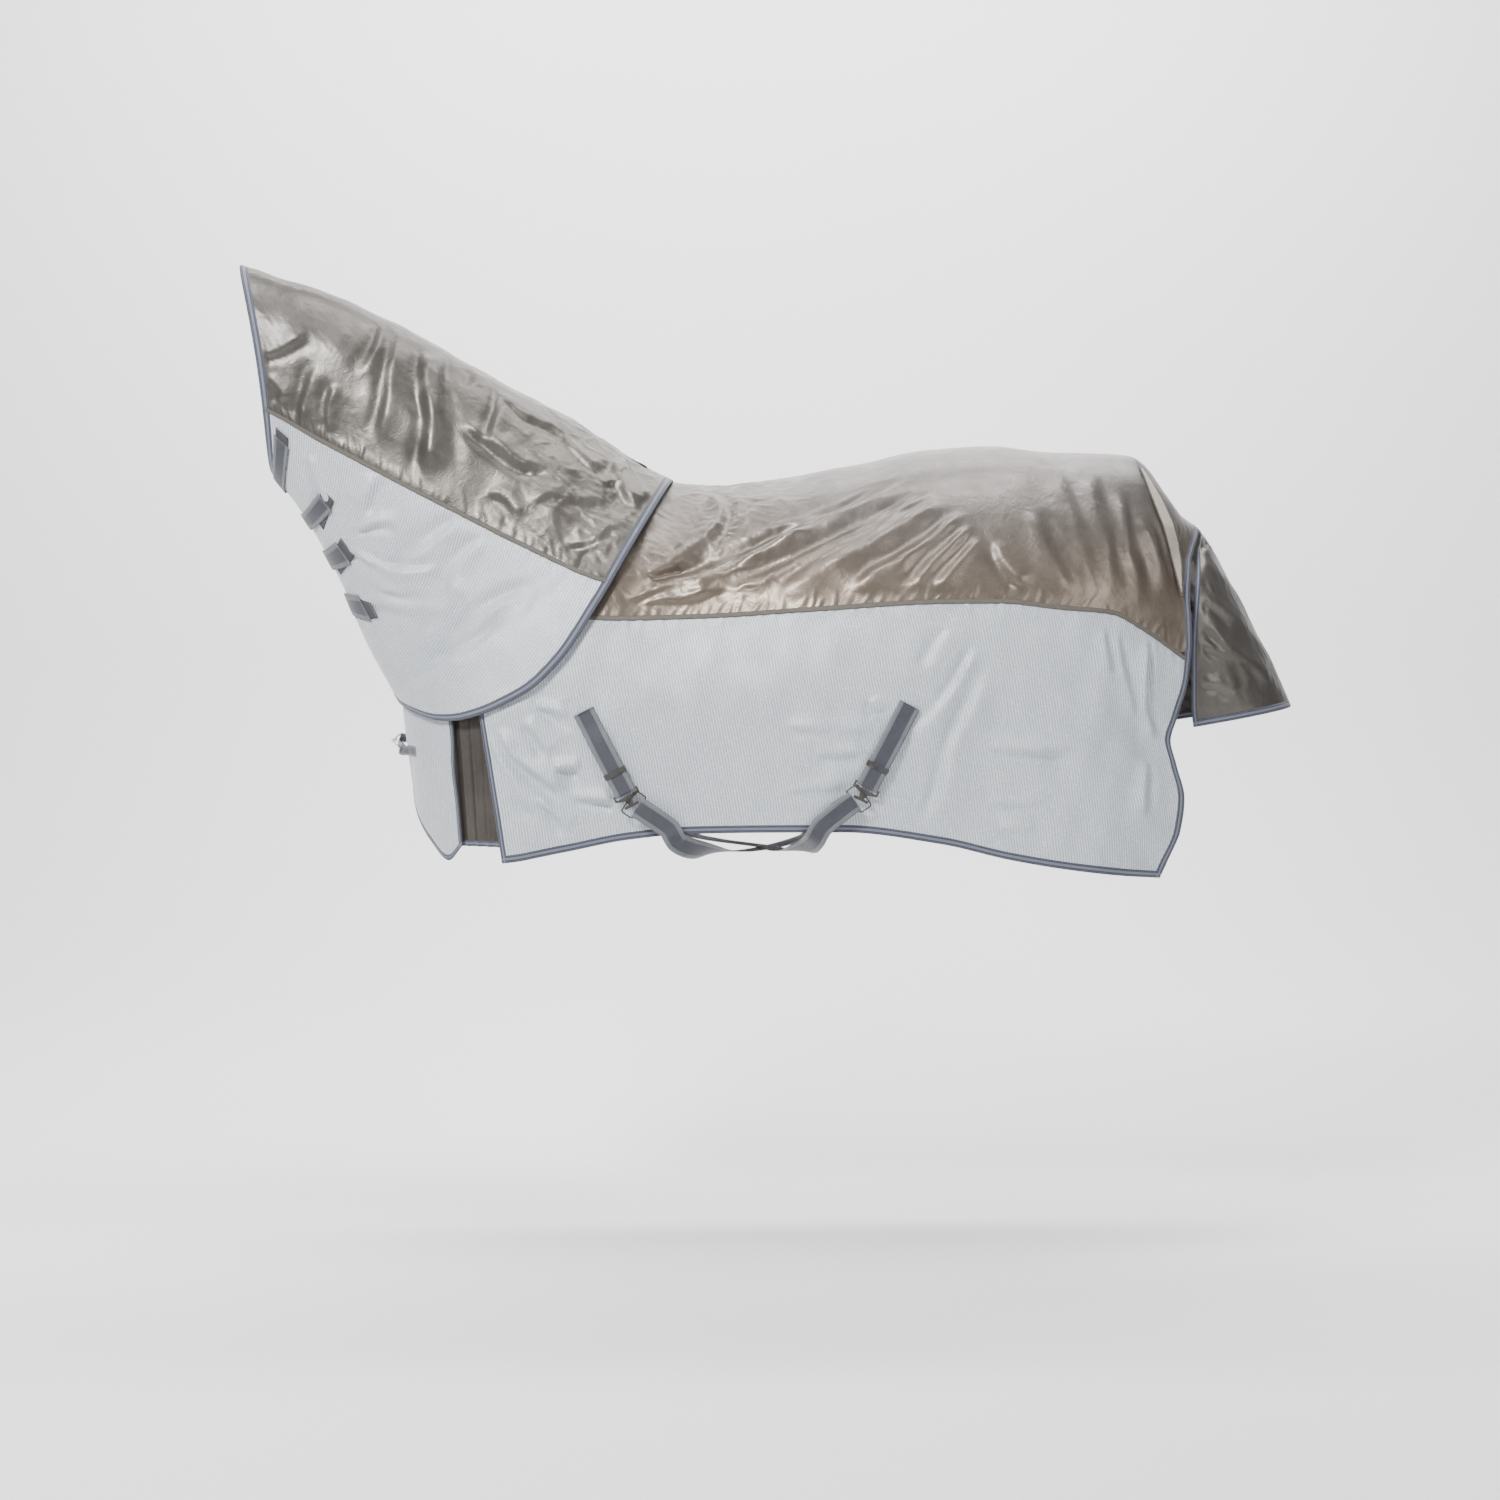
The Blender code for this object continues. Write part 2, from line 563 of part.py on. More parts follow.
def chest():
    """Chest flaps with their bindings, and the pleated shoulder gusset behind each one."""
    front, back = FLAP_FRONT * GX, FLAP_REAR * GX
    edge = BINDING_WIDTH + BUTT
    marks = [u * GX for u in (-0.70, -0.66, -0.62, -0.575, -0.526)]
    columns = [front + edge] + marks + [back - edge]
    flap_rows = 6
    for name, side in SIDES.items():
        rows = [[body_point(u, between(top_height(u), flap_hem(u) + edge, j / flap_rows), side)
                 for u in columns] for j in range(flap_rows + 1)]
        sheet(f"chest_flap_{name}", rows, CLOTH, MESH)
        sides = {}
        for where, start in (("front", front), ("rear", back - BINDING_WIDTH)):
            sides[where] = rows = []
            for j in range(flap_rows + 1):
                row = []
                for u in (start, start + BINDING_WIDTH):
                    low = flap_hem(u) + edge
                    row.append(body_point(u, between(top_height(u), low, j / flap_rows), side))
                rows.append(row)
        inner = [body_point(u, flap_hem(u) + BINDING_WIDTH, side) for u in (front + BINDING_WIDTH, marks[0])]
        for share in (0.0, 0.35, 0.7):
            u = between(front, marks[0], share)
            sides["front"].append([body_point(u, flap_hem(u), side), inner[0].lerp(inner[1], share)])
        for u in marks + [back - BINDING_WIDTH, back]:
            sides["front"].append([body_point(u, flap_hem(u) + up, side) for up in (0.0, BINDING_WIDTH)])
        sheet(f"chest_flap_edge_binding_{name}", sides["front"], BINDING_THICKNESS, EDGE)
        sheet(f"chest_flap_rear_binding_{name}", sides["rear"], BINDING_THICKNESS, EDGE)
        gusset(name, side)


def gusset(name, side):
    """The pleat let into each shoulder, lying under the flap and the side panel."""
    start, end = (u * GX for u in GUSSET)
    under = BINDING_THICKNESS + CLEARANCE + 0.75 * FACET
    low = GUSSET_HEM * GZ
    high = -0.462 * GZ
    levels = [between(high, low + BINDING_WIDTH + BUTT, j / 4) for j in range(5)]

    def row(z):
        points = []
        for k in range(6):
            share = k / 5
            fold = math.sin(math.pi * share) ** 0.6
            u = between(start, end, share)
            points.append(body_point(u, z, side, -(under + PLEAT_DEPTH * fold)))
        return points

    sheet(f"shoulder_gusset_{name}", [row(z) for z in levels], CLOTH, TAUPE)
    rows = [row(z) for z in (low + BINDING_WIDTH, low)]
    sheet(f"gusset_hem_binding_{name}", rows, BINDING_THICKNESS, EDGE)


def station_at(x, z):
    """The station whose warped position at height z is x."""
    return solve(lambda u: x - body_point(u, z, 1).x, WARP_START * GX, rear + 0.2 * GX)


def tail_gussets():
    """The pale wedge sewn over each side of the dock."""
    steps = 12
    for name, side in SIDES.items():
        rows = []
        for i in range(steps + 1):
            share = i / steps
            lift = CLOTH + CLEARANCE + FACET + DOCK_ROOM * ramp(share, 0.2, 0.5)
            row = []
            for across in (0.0, 0.5, 1.0):
                x = between(wedge_front[0](share), wedge_rear[0](share), across)
                z = between(wedge_front[1](share), wedge_rear[1](share), across)
                station = min(station_at(x, z), rear - BINDING_WIDTH - BUTT)
                level = min(z, top_height(station) - 0.004)
                row.append(body_point(station, level, side, lift))
            rows.append(row)
        sheet(f"tail_gusset_{name}", rows, CLOTH, CREAM)


# ---------------------------------------------------------------- neck cover

def seam_angle(t):
    """How far round the neck cover the panel seam lies."""
    return math.acos(1 - 2 * neck_seam(t))


def throat_angle(t):
    """Where the throat edge stops, short of the middle."""
    return solve(lambda a: neck_point(t, a, 1).y - THROAT_GAP, math.pi * 0.75, math.pi)


def arc_angle(t, angle, size):
    """The angle that a size measured round the neck cover takes up."""
    step = 0.01
    return 2 * step * size / (neck_point(t, angle + step, 1) - neck_point(t, angle - step, 1)).length


def upper_angle(t, row):
    """Angle of a row of the upper panel, closer together toward the crest."""
    last = seam_angle(t) - arc_angle(t, seam_angle(t), BUTT)
    return last * (row / UPPER_ROWS) ** 1.4


def mesh_angle(t, row):
    """Angle of a row of the mesh half."""
    return between(seam_angle(t), throat_angle(t), row / MESH_ROWS)


def inset(angle_at, row, width, end):
    """The share t at which a row has come a width in from one end of the cover."""
    goal = neck_point(end, angle_at(end, row), 1)

    def left(t):
        return (neck_point(t, angle_at(t, row), 1) - goal).length - width

    if end > 0.5:
        return solve(left, 0.6, 1.0)
    return solve(lambda t: -left(t), 0.0, 0.4)


def neck_rows(angle_at, count):
    """Rows of (t, angle) for a neck panel, inset from both ends by the bindings."""
    rows = []
    for row in range(count + 1):
        first = inset(angle_at, row, BINDING_WIDTH + BUTT, 0.0)
        final = inset(angle_at, row, BINDING_WIDTH + 3 * BUTT, 1.0)
        shares = [between(first, final, (k / NECK_COLUMNS) ** 0.9) for k in range(NECK_COLUMNS + 1)]
        rows.append([(t, angle_at(t, row)) for t in shares])
    return rows


def neck_cover():
    """Upper panel, two mesh halves, the poll and apron bindings, seam tapes and throat straps."""
    pivot("neck_pivot", Vector((crest_x(1.0), 0, crest_z(1.0) + BINDING_THICKNESS / 2)))
    upper = neck_rows(upper_angle, UPPER_ROWS)
    rows = [[neck_point(t, a, -1) for t, a in row] for row in reversed(upper)]
    rows += [[neck_point(t, a, 1) for t, a in row] for row in upper[1:]]
    sheet("neck_upper_panel", rows, CLOTH, TAUPE, "neck_pivot")
    lower = neck_rows(mesh_angle, MESH_ROWS)
    lift = (CLOTH + TAPE_THICKNESS) / 2 + CLEARANCE + 0.75 * FACET
    for name, side in SIDES.items():
        rows = [[neck_point(t, a, side) for t, a in row] for row in lower]
        sheet(f"neck_mesh_{name}", rows, CLOTH, MESH, "neck_pivot")
        rows = []
        for step in (-0.5, 0.5):
            rows.append([neck_point(t, a + step * arc_angle(t, a, TAPE_WIDTH), side, lift)
                         for t, a in lower[0]])
        sheet(f"neck_seam_tape_{name}", rows, TAPE_THICKNESS, TAUPE, "neck_pivot")

    lines = [(upper_angle, row) for row in range(UPPER_ROWS + 1)]
    lines += [(mesh_angle, row) for row in range(1, MESH_ROWS + 1)]
    for name, end in (("poll_binding", 0.0), ("apron_binding", 1.0)):
        rows = []
        for width in (0.0, BINDING_WIDTH):
            half = []
            for angle_at, row in lines:
                t = inset(angle_at, row, width, end) if width else end
                half.append((t, angle_at(t, row)))
            rows.append([neck_point(t, a, -1) for t, a in reversed(half)]
                        + [neck_point(t, a, 1) for t, a in half[1:]])
        sheet(name, rows, BINDING_THICKNESS, EDGE, "neck_pivot")
    throat_straps()


def throat_straps():
    """Four straps round the throat, each sewn just right of the middle, with its pad on the left."""
    pad_lift = CLOTH / 2 + CLEARANCE + FACET + PAD_THICKNESS / 2
    strap_lift = pad_lift + PAD_THICKNESS / 2 + CLEARANCE + THROAT_STRAP / 2 + SEWN_ROOM
    length = math.hypot(throat_x(1.0) - throat_x(0.0), throat_z(1.0) - throat_z(0.0))
    half = THROAT_STRAP_WIDTH / 2 / length
    inner = 0.05
    for number, (at_throat, at_end, reach) in enumerate(THROAT_STRAPS, 1):
        final = math.pi * reach
        turn = throat_angle(at_throat) - inner
        rows, pad_rows = [], []
        for edge in (-half, half):
            row = [neck_point(at_throat + edge, turn - STRAP_SEWN_ANGLE * k / 4, 1, strap_lift)
                   for k in (4, 3, 2, 1, 0)]
            row += [neck_point(between(at_throat, at_end, k / 8) + edge, between(turn, final, k / 8),
                               -1, strap_lift) for k in range(9)]
            rows.append(row)
            pad_rows.append([neck_point(at_end + 0.8 * edge, between(final + 0.30, final - 0.09, k / 3),
                                        -1, pad_lift) for k in range(4)])
        name = f"throat_strap_pivot_{number}"
        pivot(name, (rows[0][0] + rows[1][0]) / 2)
        sheet(f"throat_strap_{number}", rows, THROAT_STRAP, BAND, name)
        sheet(f"hook_pad_{number}", pad_rows, PAD_THICKNESS, HOOK_TAPE, "neck_pivot")


# ---------------------------------------------------------------- tail flap

def tail_flap():
    """The flap over the tail with its side and lower bindings."""
    along = Vector((ridge_x(0.1) - ridge_x(0.0), 0, ridge_z(0.1) - ridge_z(0.0))).normalized()
    above = Vector((-along.z, 0, along.x))
    root = Vector((ridge_x(0.0), 0, ridge_z(0.0)))
    pivot("tail_pivot", root + above * BINDING_THICKNESS / 2)
    steps, spread = 10, 8

    def edge_share(s, width):
        """How far across the cloth lies a width in from the side edge."""
        goal = tail_point(s, 1.0)
        return solve(lambda a: (tail_point(s, a) - goal).length - width, 0.3, 1.0)

    def low_share(across, width):
        goal = tail_point(1.0, across)
        return solve(lambda s: (tail_point(s, across) - goal).length - width, 0.5, 1.0)

    rows = []
    for i in range(steps + 1):
        row = []
        for k in range(-spread, spread + 1):
            s = i / steps
            across = 0.0
            for _ in range(3):
                across = edge_share(s, BINDING_WIDTH + 5 * BUTT) * k / spread
                s = low_share(across, BINDING_WIDTH + BUTT) * i / steps
            row.append(tail_point(s, across))
        rows.append(row)
    sheet("tail_flap", rows, CLOTH, TAUPE, "tail_pivot")
    for name, side in SIDES.items():
        rows = []
        for i in range(steps + 1):
            row = []
            for width in (0.0, BINDING_WIDTH):
                s = i / steps
                across = 1.0
                for _ in range(3):
                    across = edge_share(s, width) if width else 1.0
                    s = low_share(across, BINDING_WIDTH + BUTT) * i / steps
                row.append(tail_point(s, side * across))
            rows.append(row)
        sheet(f"tail_flap_side_binding_{name}", rows, BINDING_THICKNESS, EDGE, "tail_pivot")
    rows = []
    for width in (BINDING_WIDTH, 0.0):
        row = []
        for k in range(-spread - 1, spread + 2):
            if abs(k) > spread:
                across = 1.0
            else:
                across = edge_share(1.0, BINDING_WIDTH) * abs(k) / spread
            s = low_share(across, width) if width else 1.0
            row.append(tail_point(s, math.copysign(across, k)))
        rows.append(row)
    sheet("tail_flap_lower_binding", rows, BINDING_THICKNESS, EDGE, "tail_pivot")


# ---------------------------------------------------------------- webbing and its hardware

FOLD_OUT = 0.0029            # middle of each webbing layer from the bar it is folded round
FOLD_DEEP = 0.0038


def fold(steps=6):
    """Half turn of webbing round a bar, from the outward layer to the inward one, below the bar."""
    return [(-FOLD_DEEP * math.sin(math.pi * k / steps), FOLD_OUT * math.cos(math.pi * k / steps))
            for k in range(steps + 1)]


def directions(frame):
    """A frame's across, up and outward directions."""
    turn = frame.to_3x3()
    return turn @ Vector((1, 0, 0)), turn @ Vector((0, 1, 0)), turn @ Vector((0, 0, 1))


def flat_rows(path, across, width):
    """Edge points of webbing whose width keeps one direction."""
    return [[p - across * width / 2, p + across * width / 2] for p in path]


def tab_run(where):
    """Run of a tab along the horse for each metre down; both tabs slope to the middle."""
    return TAB_SLOPE * GX / GZ * (1 if where == "front" else -1)


def tab_frame(where):
    """Frame of a tab at its sewn top on the left: on the cloth, Y pointing back up the tab."""
    x, z = TAB_TOPS[where][0] * GX, TAB_TOPS[where][1] * GZ
    step = 0.01
    top = body_point(x, z, -1)
    below = body_point(x + tab_run(where) * step, z - step, -1)
    return frame_at(top, top - below, body_point(x, z, -1, step) - top)


def t_hook(name, matrix):
    """Stamped T-hook: a slotted head for the webbing, a neck and the T. Returns the neck's height."""
    wide, slot_wide = WEBBING_WIDTH + 0.010, WEBBING_WIDTH + 0.002
    top = HOOK_BAR / 2
    shoulder = -top - HOOK_SLOT - 0.003
    neck, tee, end = shoulder - 0.006, shoulder - 0.016, shoulder - 0.022
    right = [(wide / 2, shoulder), (0.008, neck), (0.006, tee), (0.016, tee), (0.016, end)]
    left = [(-x, y) for x, y in reversed(right)]
    outline = [(-wide / 2, top), *reversed(left), *reversed(right), (wide / 2, top)]
    slot = [(slot_wide / 2, -top), (slot_wide / 2, -top - HOOK_SLOT),
            (-slot_wide / 2, -top - HOOK_SLOT), (-slot_wide / 2, -top)]
    plate(name, [outline, slot], HOOK_PLATE, CHROME, None, matrix)
    return shoulder - 0.010


def slide(name, frame, carrier):
    """Flat keeper round both layers of the tab, free to slide along it."""
    room = 0.0005
    deep = 2 * (FOLD_OUT + WEBBING / 2 + room)
    wide = WEBBING_WIDTH + 2 * room
    outer = rounded_rectangle(wide + 2 * SLIDE_WALL, deep + 2 * SLIDE_WALL, 0.0015)
    inner = list(reversed(rounded_rectangle(wide, deep, 0.0004, 1)))
    turned = frame @ Matrix.Rotation(math.pi / 2, 4, "X")
    plate(name, [outer, inner], SLIDE_LENGTH, CHROME, carrier, turned)


def surcingle_tab(where):
    """Tab sewn on the left side, doubled back round its T-hook, with its slide."""
    frame = tab_frame(where)
    across, up, outward = directions(frame)
    sewn = (CLOTH + WEBBING) / 2 + CLEARANCE + SEWN_ROOM
    outer, inner = TAB_STANDOFF + FOLD_OUT, TAB_STANDOFF - FOLD_OUT
    line = [(0.0, sewn), (-0.030, sewn), (-0.045, between(sewn, outer, 0.3)),
            (-0.060, between(sewn, outer, 0.8)), (-0.072, outer), (-0.120, outer)]
    line += [(-TAB_LENGTH + y, TAB_STANDOFF + z) for y, z in fold()]
    line += [(-TAB_LENGTH + 0.040, inner), (-TAB_LENGTH + 0.085, inner)]
    path = [frame @ Vector((0, y, z)) for y, z in line]
    sheet(f"surcingle_tab_{where}", flat_rows(path, across, WEBBING_WIDTH), WEBBING, BAND)
    slide_at = frame @ Vector((0, -TAB_LENGTH + 0.045, TAB_STANDOFF))
    pivot(f"slide_pivot_{where}", slide_at)
    slide(f"slide_{where}", frame_at(slide_at, up, outward), f"slide_pivot_{where}")
    hook_frame = frame @ Matrix.Translation((0, -TAB_LENGTH, TAB_STANDOFF))
    catch = t_hook(f"t_hook_{where}", hook_frame)
    return hook_frame, catch


def far_strap(where):
    """Strap sewn on the right side, lying down it to the hem. Returns its rows of edge points."""
    top_x, top_z = TAB_TOPS[where][0] * GX, TAB_TOPS[where][1] * GZ
    run = tab_run(where)
    end_z = HINGE_HEIGHT * GZ
    end_x = top_x + run * (top_z - end_z)
    flat = math.hypot(1.0, run)
    half_x, half_z = WEBBING_WIDTH / 2 / flat, WEBBING_WIDTH / 2 * run / flat
    low = (CLOTH + WEBBING) / 2 + CLEARANCE + SEWN_ROOM
    high = (BINDING_THICKNESS + WEBBING) / 2 + CLEARANCE + 2 * FACET
    steps = 12
    rows = []
    for k in range(steps + 1):
        z = between(top_z, end_z + WEBBING_WIDTH / 2, k / steps)
        x = top_x + run * (top_z - z)
        lift = between(low, high, ramp(k, 2, 6))
        rows.append([body_point(x + half_x * edge, z + half_z * edge, 1, lift) for edge in (-1, 0, 1)])
    end_y = min(point.y for point in rows[-1])
    rows.append([Vector((end_x + WEBBING_WIDTH * flat / 2 * edge, end_y, end_z)) for edge in (-1, 0, 1)])
    sheet(f"far_strap_{where}", rows, WEBBING, BAND)
    return rows


def belly_strap(where, hook_frame, catch, far_end):
    """Wire receiver on the T-hook and the strap that runs under the belly to the far hem."""
    ahead = 1 if where == "front" else -1
    carrier = f"surcingle_pivot_{where}"
    hinge = far_end[1]
    pivot(carrier, hinge + Vector((0, WEBBING / 2, -CLEARANCE / 2)))

    loop_high, loop_wide = 0.028, WEBBING_WIDTH + 0.008
    rise = (HOOK_PLATE + RECEIVER_WIRE) / 2 + CLEARANCE + SEWN_ROOM
    _, up, outward = directions(hook_frame)
    lean = (Vector((ahead * BELLY_LEAN, 0, 0)) - up).normalized()
    receiver = frame_at(hook_frame @ Vector((0, catch, rise)) + lean * (loop_high / 2 - 0.004), -lean,
                        outward)
    wire(f"receiver_{where}", [(x, y, 0) for x, y in rounded_rectangle(loop_wide, loop_high, 0.005)],
         RECEIVER_WIRE, True, CHROME, carrier, receiver)
    across, _, face = directions(receiver)
    bar = receiver @ Vector((0, -loop_high / 2, 0))
    turn = [bar + lean * d - face * FOLD_OUT for d in (0.040, 0.020)]
    turn += [bar + lean * y + face * z for y, z in reversed(fold())]
    rows = flat_rows(turn, across, WEBBING_WIDTH)

    start = bar + lean * 0.016 + face * FOLD_OUT
    hem_x = start.x + ahead * BELLY_HEM_RUN
    hem_y = -(half_width(hem_x) - hem_inward(hem_x) + BELLY_ROOM * WEBBING_WIDTH)
    low = hem_height(hem_x)
    drop = UNDER_BELLY * GZ - (WEBBING + 2 * CLEARANCE if where == "front" else 0.0)
    middle = CROSSING * GX
    leave = Vector((far_end[1].x - middle, 0, 0)).normalized() * -0.45 + Vector((0, -0.25, -1.0))
    leave.normalize()
    bend = hinge + leave * 0.014
    knots = [start, Vector((hem_x, hem_y, low + 0.016)),
             Vector((hem_x + ahead * 0.016, hem_y + 0.006, low - 0.012)),
             Vector((between(hem_x, middle, 0.30), hem_y * 0.80, low - 0.034)),
             Vector((between(hem_x, middle, 0.70), hem_y * 0.40, drop + 0.004)),
             Vector((middle, 0, drop)),
             Vector((between(middle, hinge.x, 0.45), hinge.y * 0.45, drop + 0.002)),
             Vector((between(middle, hinge.x, 0.80), hinge.y * 0.84, drop + 0.008)), bend]
    path = smooth_path(knots, 0.016)
    hints = []
    for point in path:
        edge = abs(hem_y) if point.y < 0 else hinge.y
        under = ramp(1 - abs(point.y) / edge, 0.02, 0.30 if point.y > 0 else 0.62)
        hints.append(Vector((0, math.copysign(1 - under, point.y), -under)))
    run = strip_rows(path, hints, WEBBING_WIDTH)
    last = [far_end[0], far_end[2]]
    if (last[0] - run[-1][0]).length > (last[1] - run[-1][0]).length:
        last.reverse()
    run[-1] = [point + leave * 0.014 for point in last]
    run.append([point + leave * 0.006 for point in last])
    run.append([point - Vector((0, 0, CLEARANCE)) for point in last])
    if (run[0][0] - rows[-1][0]).length > (run[0][0] - rows[-1][1]).length:
        rows = [[b, a] for a, b in rows]
    sheet(f"belly_strap_{where}", rows + run, WEBBING, BAND, carrier)


def surcingles():
    """Two crossed surcingles, each hooked on the left and sewn on the right."""
    far = {where: far_strap(where) for where in ("front", "rear")}
    for where, other in (("front", "rear"), ("rear", "front")):
        hook_frame, catch = surcingle_tab(where)
        belly_strap(where, hook_frame, catch, far[other][-1])


def chest_tab(name, bar, bar_way, toward, side):
    """Webbing tab sewn to a chest flap and folded round a bar; toward points on to the fastening."""
    face = bar_way.cross(toward).normalized()
    if face.x > 0:
        face.negate()
    upward = bar_way if bar_way.z > 0 else -bar_way
    half = CHEST_WEBBING_WIDTH / 2
    rows = []
    for spread, lift in ((0.125, CLOTH), (0.105, BINDING_THICKNESS), (0.085, BINDING_THICKNESS)):
        turn = math.acos(spread * GY / chest_half_width)
        u = wrap_start - wrap_arc * turn * 2 / math.pi
        over = (lift + WEBBING) / 2 + CLEARANCE + SEWN_ROOM
        rows.append([body_point(u, bar.z + z, side, over) for z in (-half, half)])
    outer = bar - toward * 0.010 + face * FOLD_OUT
    sewn = (rows[-1][0] + rows[-1][1]) / 2
    path = [sewn.lerp(outer, 0.55) + face * 0.001, outer]
    path += [bar - toward * y + face * z for y, z in fold()]
    path.append(bar - toward * 0.012 - face * FOLD_OUT)
    rows += [[point - upward * half, point + upward * half] for point in path]
    sheet(name, rows, WEBBING, BAND)


def chest_fastening():
    """Swivel snap on the left chest tab, hooked in the D-ring on the right one."""
    surface = body_point(FLAP_FRONT * GX, EYE_BAR[2] * GZ, -1).x
    eye = Vector((surface - CHEST_STANDOFF, EYE_BAR[1], EYE_BAR[2] * GZ))
    snap_way, ring_way = SNAP_WAY.normalized(), RING_WAY.normalized()
    wire_way = snap_way.cross(ring_way).normalized()
    lateral = wire_way.cross(snap_way)
    hook = Matrix((lateral, snap_way, wire_way)).transposed().to_4x4()
    hook.translation = eye
    eye_frame = Matrix((wire_way, snap_way, -lateral)).transposed().to_4x4()
    eye_frame.translation = eye
    wide = CHEST_WEBBING_WIDTH / 2 + 0.003
    wire("snap_eye", [(-wide, 0, 0), (wide, 0, 0), (wide, 0.0060, 0), (0.004, 0.0105, 0),
                      (-0.004, 0.0105, 0), (-wide, 0.0060, 0)], 0.0026, True, CHROME, None, eye_frame)
    base = 0.0105 + 0.0013 + CLEARANCE
    pivot("snap_pivot", hook @ Vector((0, base, 0)))
    reach = 0.0078
    arc = [(reach * math.cos(a), SNAP_BIGHT + reach * math.sin(a), 0)
           for a in (math.radians(d) for d in range(0, 181, 30))]
    points = [(0, base, 0), (0, base + 0.0060, 0), (0.0040, base + 0.0095, 0), (reach, 0.0265, 0), *arc,
              (-reach, SNAP_BIGHT - 0.004, 0)]
    radii = [2.1, 2.1, 1.5, 1.0] + [1.0] * (len(arc) + 1)
    wire("snap_hook", points, SNAP_WIRE, False, CHROME, "snap_pivot", hook, radii)
    foot = Vector((-0.0050, base + 0.0085, 0))
    tip = Vector((-reach, SNAP_BIGHT - 0.004 - CLEARANCE - 0.0004, 0))
    pivot("gate_pivot", hook @ foot)
    wire("snap_gate", [foot, tip], 0.0026, False, CHROME, "gate_pivot", hook)

    inside = SNAP_BIGHT + reach - (SNAP_WIRE + RING_WIRE) / 2 - CLEARANCE
    bight = hook @ Vector((0, inside, 0))
    ring = Matrix((wire_way, -ring_way, (wire_way.cross(-ring_way)))).transposed().to_4x4()
    ring.translation = bight + ring_way * RING_REACH
    arc = [(wide * math.cos(a), 0.003 + (RING_REACH - 0.003) * math.sin(a), 0)
           for a in (math.radians(d) for d in range(0, 181, 20))]
    wire("chest_ring", [(-wide, 0, 0), (wide, 0, 0), *arc], RING_WIRE, True, CHROME, None, ring)
    chest_tab("chest_tab_left", eye, wire_way, snap_way, -1)
    chest_tab("chest_tab_right", ring.translation, wire_way, -ring_way, 1)


def strip_rows(path, hints, width):
    """Left and right edge points of a strap along a path."""
    rows = []
    for i, point in enumerate(path):
        tangent = (path[min(i + 1, len(path) - 1)] - path[max(i - 1, 0)]).normalized()
        normal = (hints[i] - tangent * hints[i].dot(tangent)).normalized()
        across = tangent.cross(normal) * width / 2
        rows.append([point - across, point + across])
    return rows


def smooth_path(knots, spacing):
    """Points along a smooth curve through the knots, about a spacing apart."""
    points = []
    for i in range(len(knots) - 1):
        before = knots[max(i - 1, 0)]
        after = knots[min(i + 2, len(knots) - 1)]
        a, b = knots[i], knots[i + 1]
        steps = max(1, round((b - a).length / spacing))
        for k in range(steps):
            t = k / steps
            points.append(0.5 * (2 * a + (b - before) * t + (2 * before - 5 * a + 4 * b - after) * t ** 2
                                 + (3 * a - before - 3 * b + after) * t ** 3))
    points.append(knots[-1])
    return points


back_and_sides()
body_bindings()
chest()
tail_gussets()
neck_cover()
tail_flap()
surcingles()
chest_fastening()
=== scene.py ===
"""Looks of the fly sheet: cloth with its folds, bindings, seams, webbing, hardware, stage, camera.

The cloth hangs on the same pattern surfaces as the CAD, so every piece lies where its CAD node is.
Metres throughout; the left side, which the camera sees, is at -Y.
"""
import json
import math

import bpy
import numpy as np
from mathutils import Matrix, Vector

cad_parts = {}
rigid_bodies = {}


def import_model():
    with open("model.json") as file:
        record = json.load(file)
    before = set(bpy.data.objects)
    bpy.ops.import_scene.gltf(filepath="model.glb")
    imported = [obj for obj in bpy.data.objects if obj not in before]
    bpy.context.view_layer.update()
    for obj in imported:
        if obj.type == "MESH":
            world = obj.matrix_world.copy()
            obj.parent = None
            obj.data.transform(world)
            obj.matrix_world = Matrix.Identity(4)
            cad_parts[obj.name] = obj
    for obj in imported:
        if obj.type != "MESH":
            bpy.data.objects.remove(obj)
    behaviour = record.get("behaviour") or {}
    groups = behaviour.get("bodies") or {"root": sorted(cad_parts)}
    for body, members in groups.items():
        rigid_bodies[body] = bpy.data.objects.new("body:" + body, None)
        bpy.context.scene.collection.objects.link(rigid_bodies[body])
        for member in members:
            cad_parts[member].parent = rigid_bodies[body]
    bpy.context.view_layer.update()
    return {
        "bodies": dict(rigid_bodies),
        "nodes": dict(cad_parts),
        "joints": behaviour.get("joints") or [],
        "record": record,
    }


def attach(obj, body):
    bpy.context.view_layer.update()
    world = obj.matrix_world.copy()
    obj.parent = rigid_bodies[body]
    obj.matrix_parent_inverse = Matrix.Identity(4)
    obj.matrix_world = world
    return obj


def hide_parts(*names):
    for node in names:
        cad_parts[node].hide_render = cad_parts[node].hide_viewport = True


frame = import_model()

# Sizes that the CAD model has too.
CLOTH = 0.0020
BINDING_WIDTH = 0.024
BINDING_THICKNESS = 0.0026
WEBBING_WIDTH = 0.046
WEBBING = 0.0018
THROAT_STRAP_WIDTH = 0.048
THROAT_STRAP = 0.0016
PAD_THICKNESS = 0.0014
CLEARANCE = 0.0003
FACET = 0.0008
SEWN_ROOM = 0.0004
DOCK_ROOM = 0.0014
APRON_ROOM = 0.011
PLEAT_DEPTH = 0.010
HOOK_PLATE = 0.0025
RECEIVER_WIRE = 0.0030
TAB_LENGTH = 0.190
TAB_STANDOFF = 0.0085
CHEST_WEBBING_WIDTH = 0.022
FOLD_OUT = 0.0029
FOLD_DEEP = 0.0038
CATCH = -0.0215

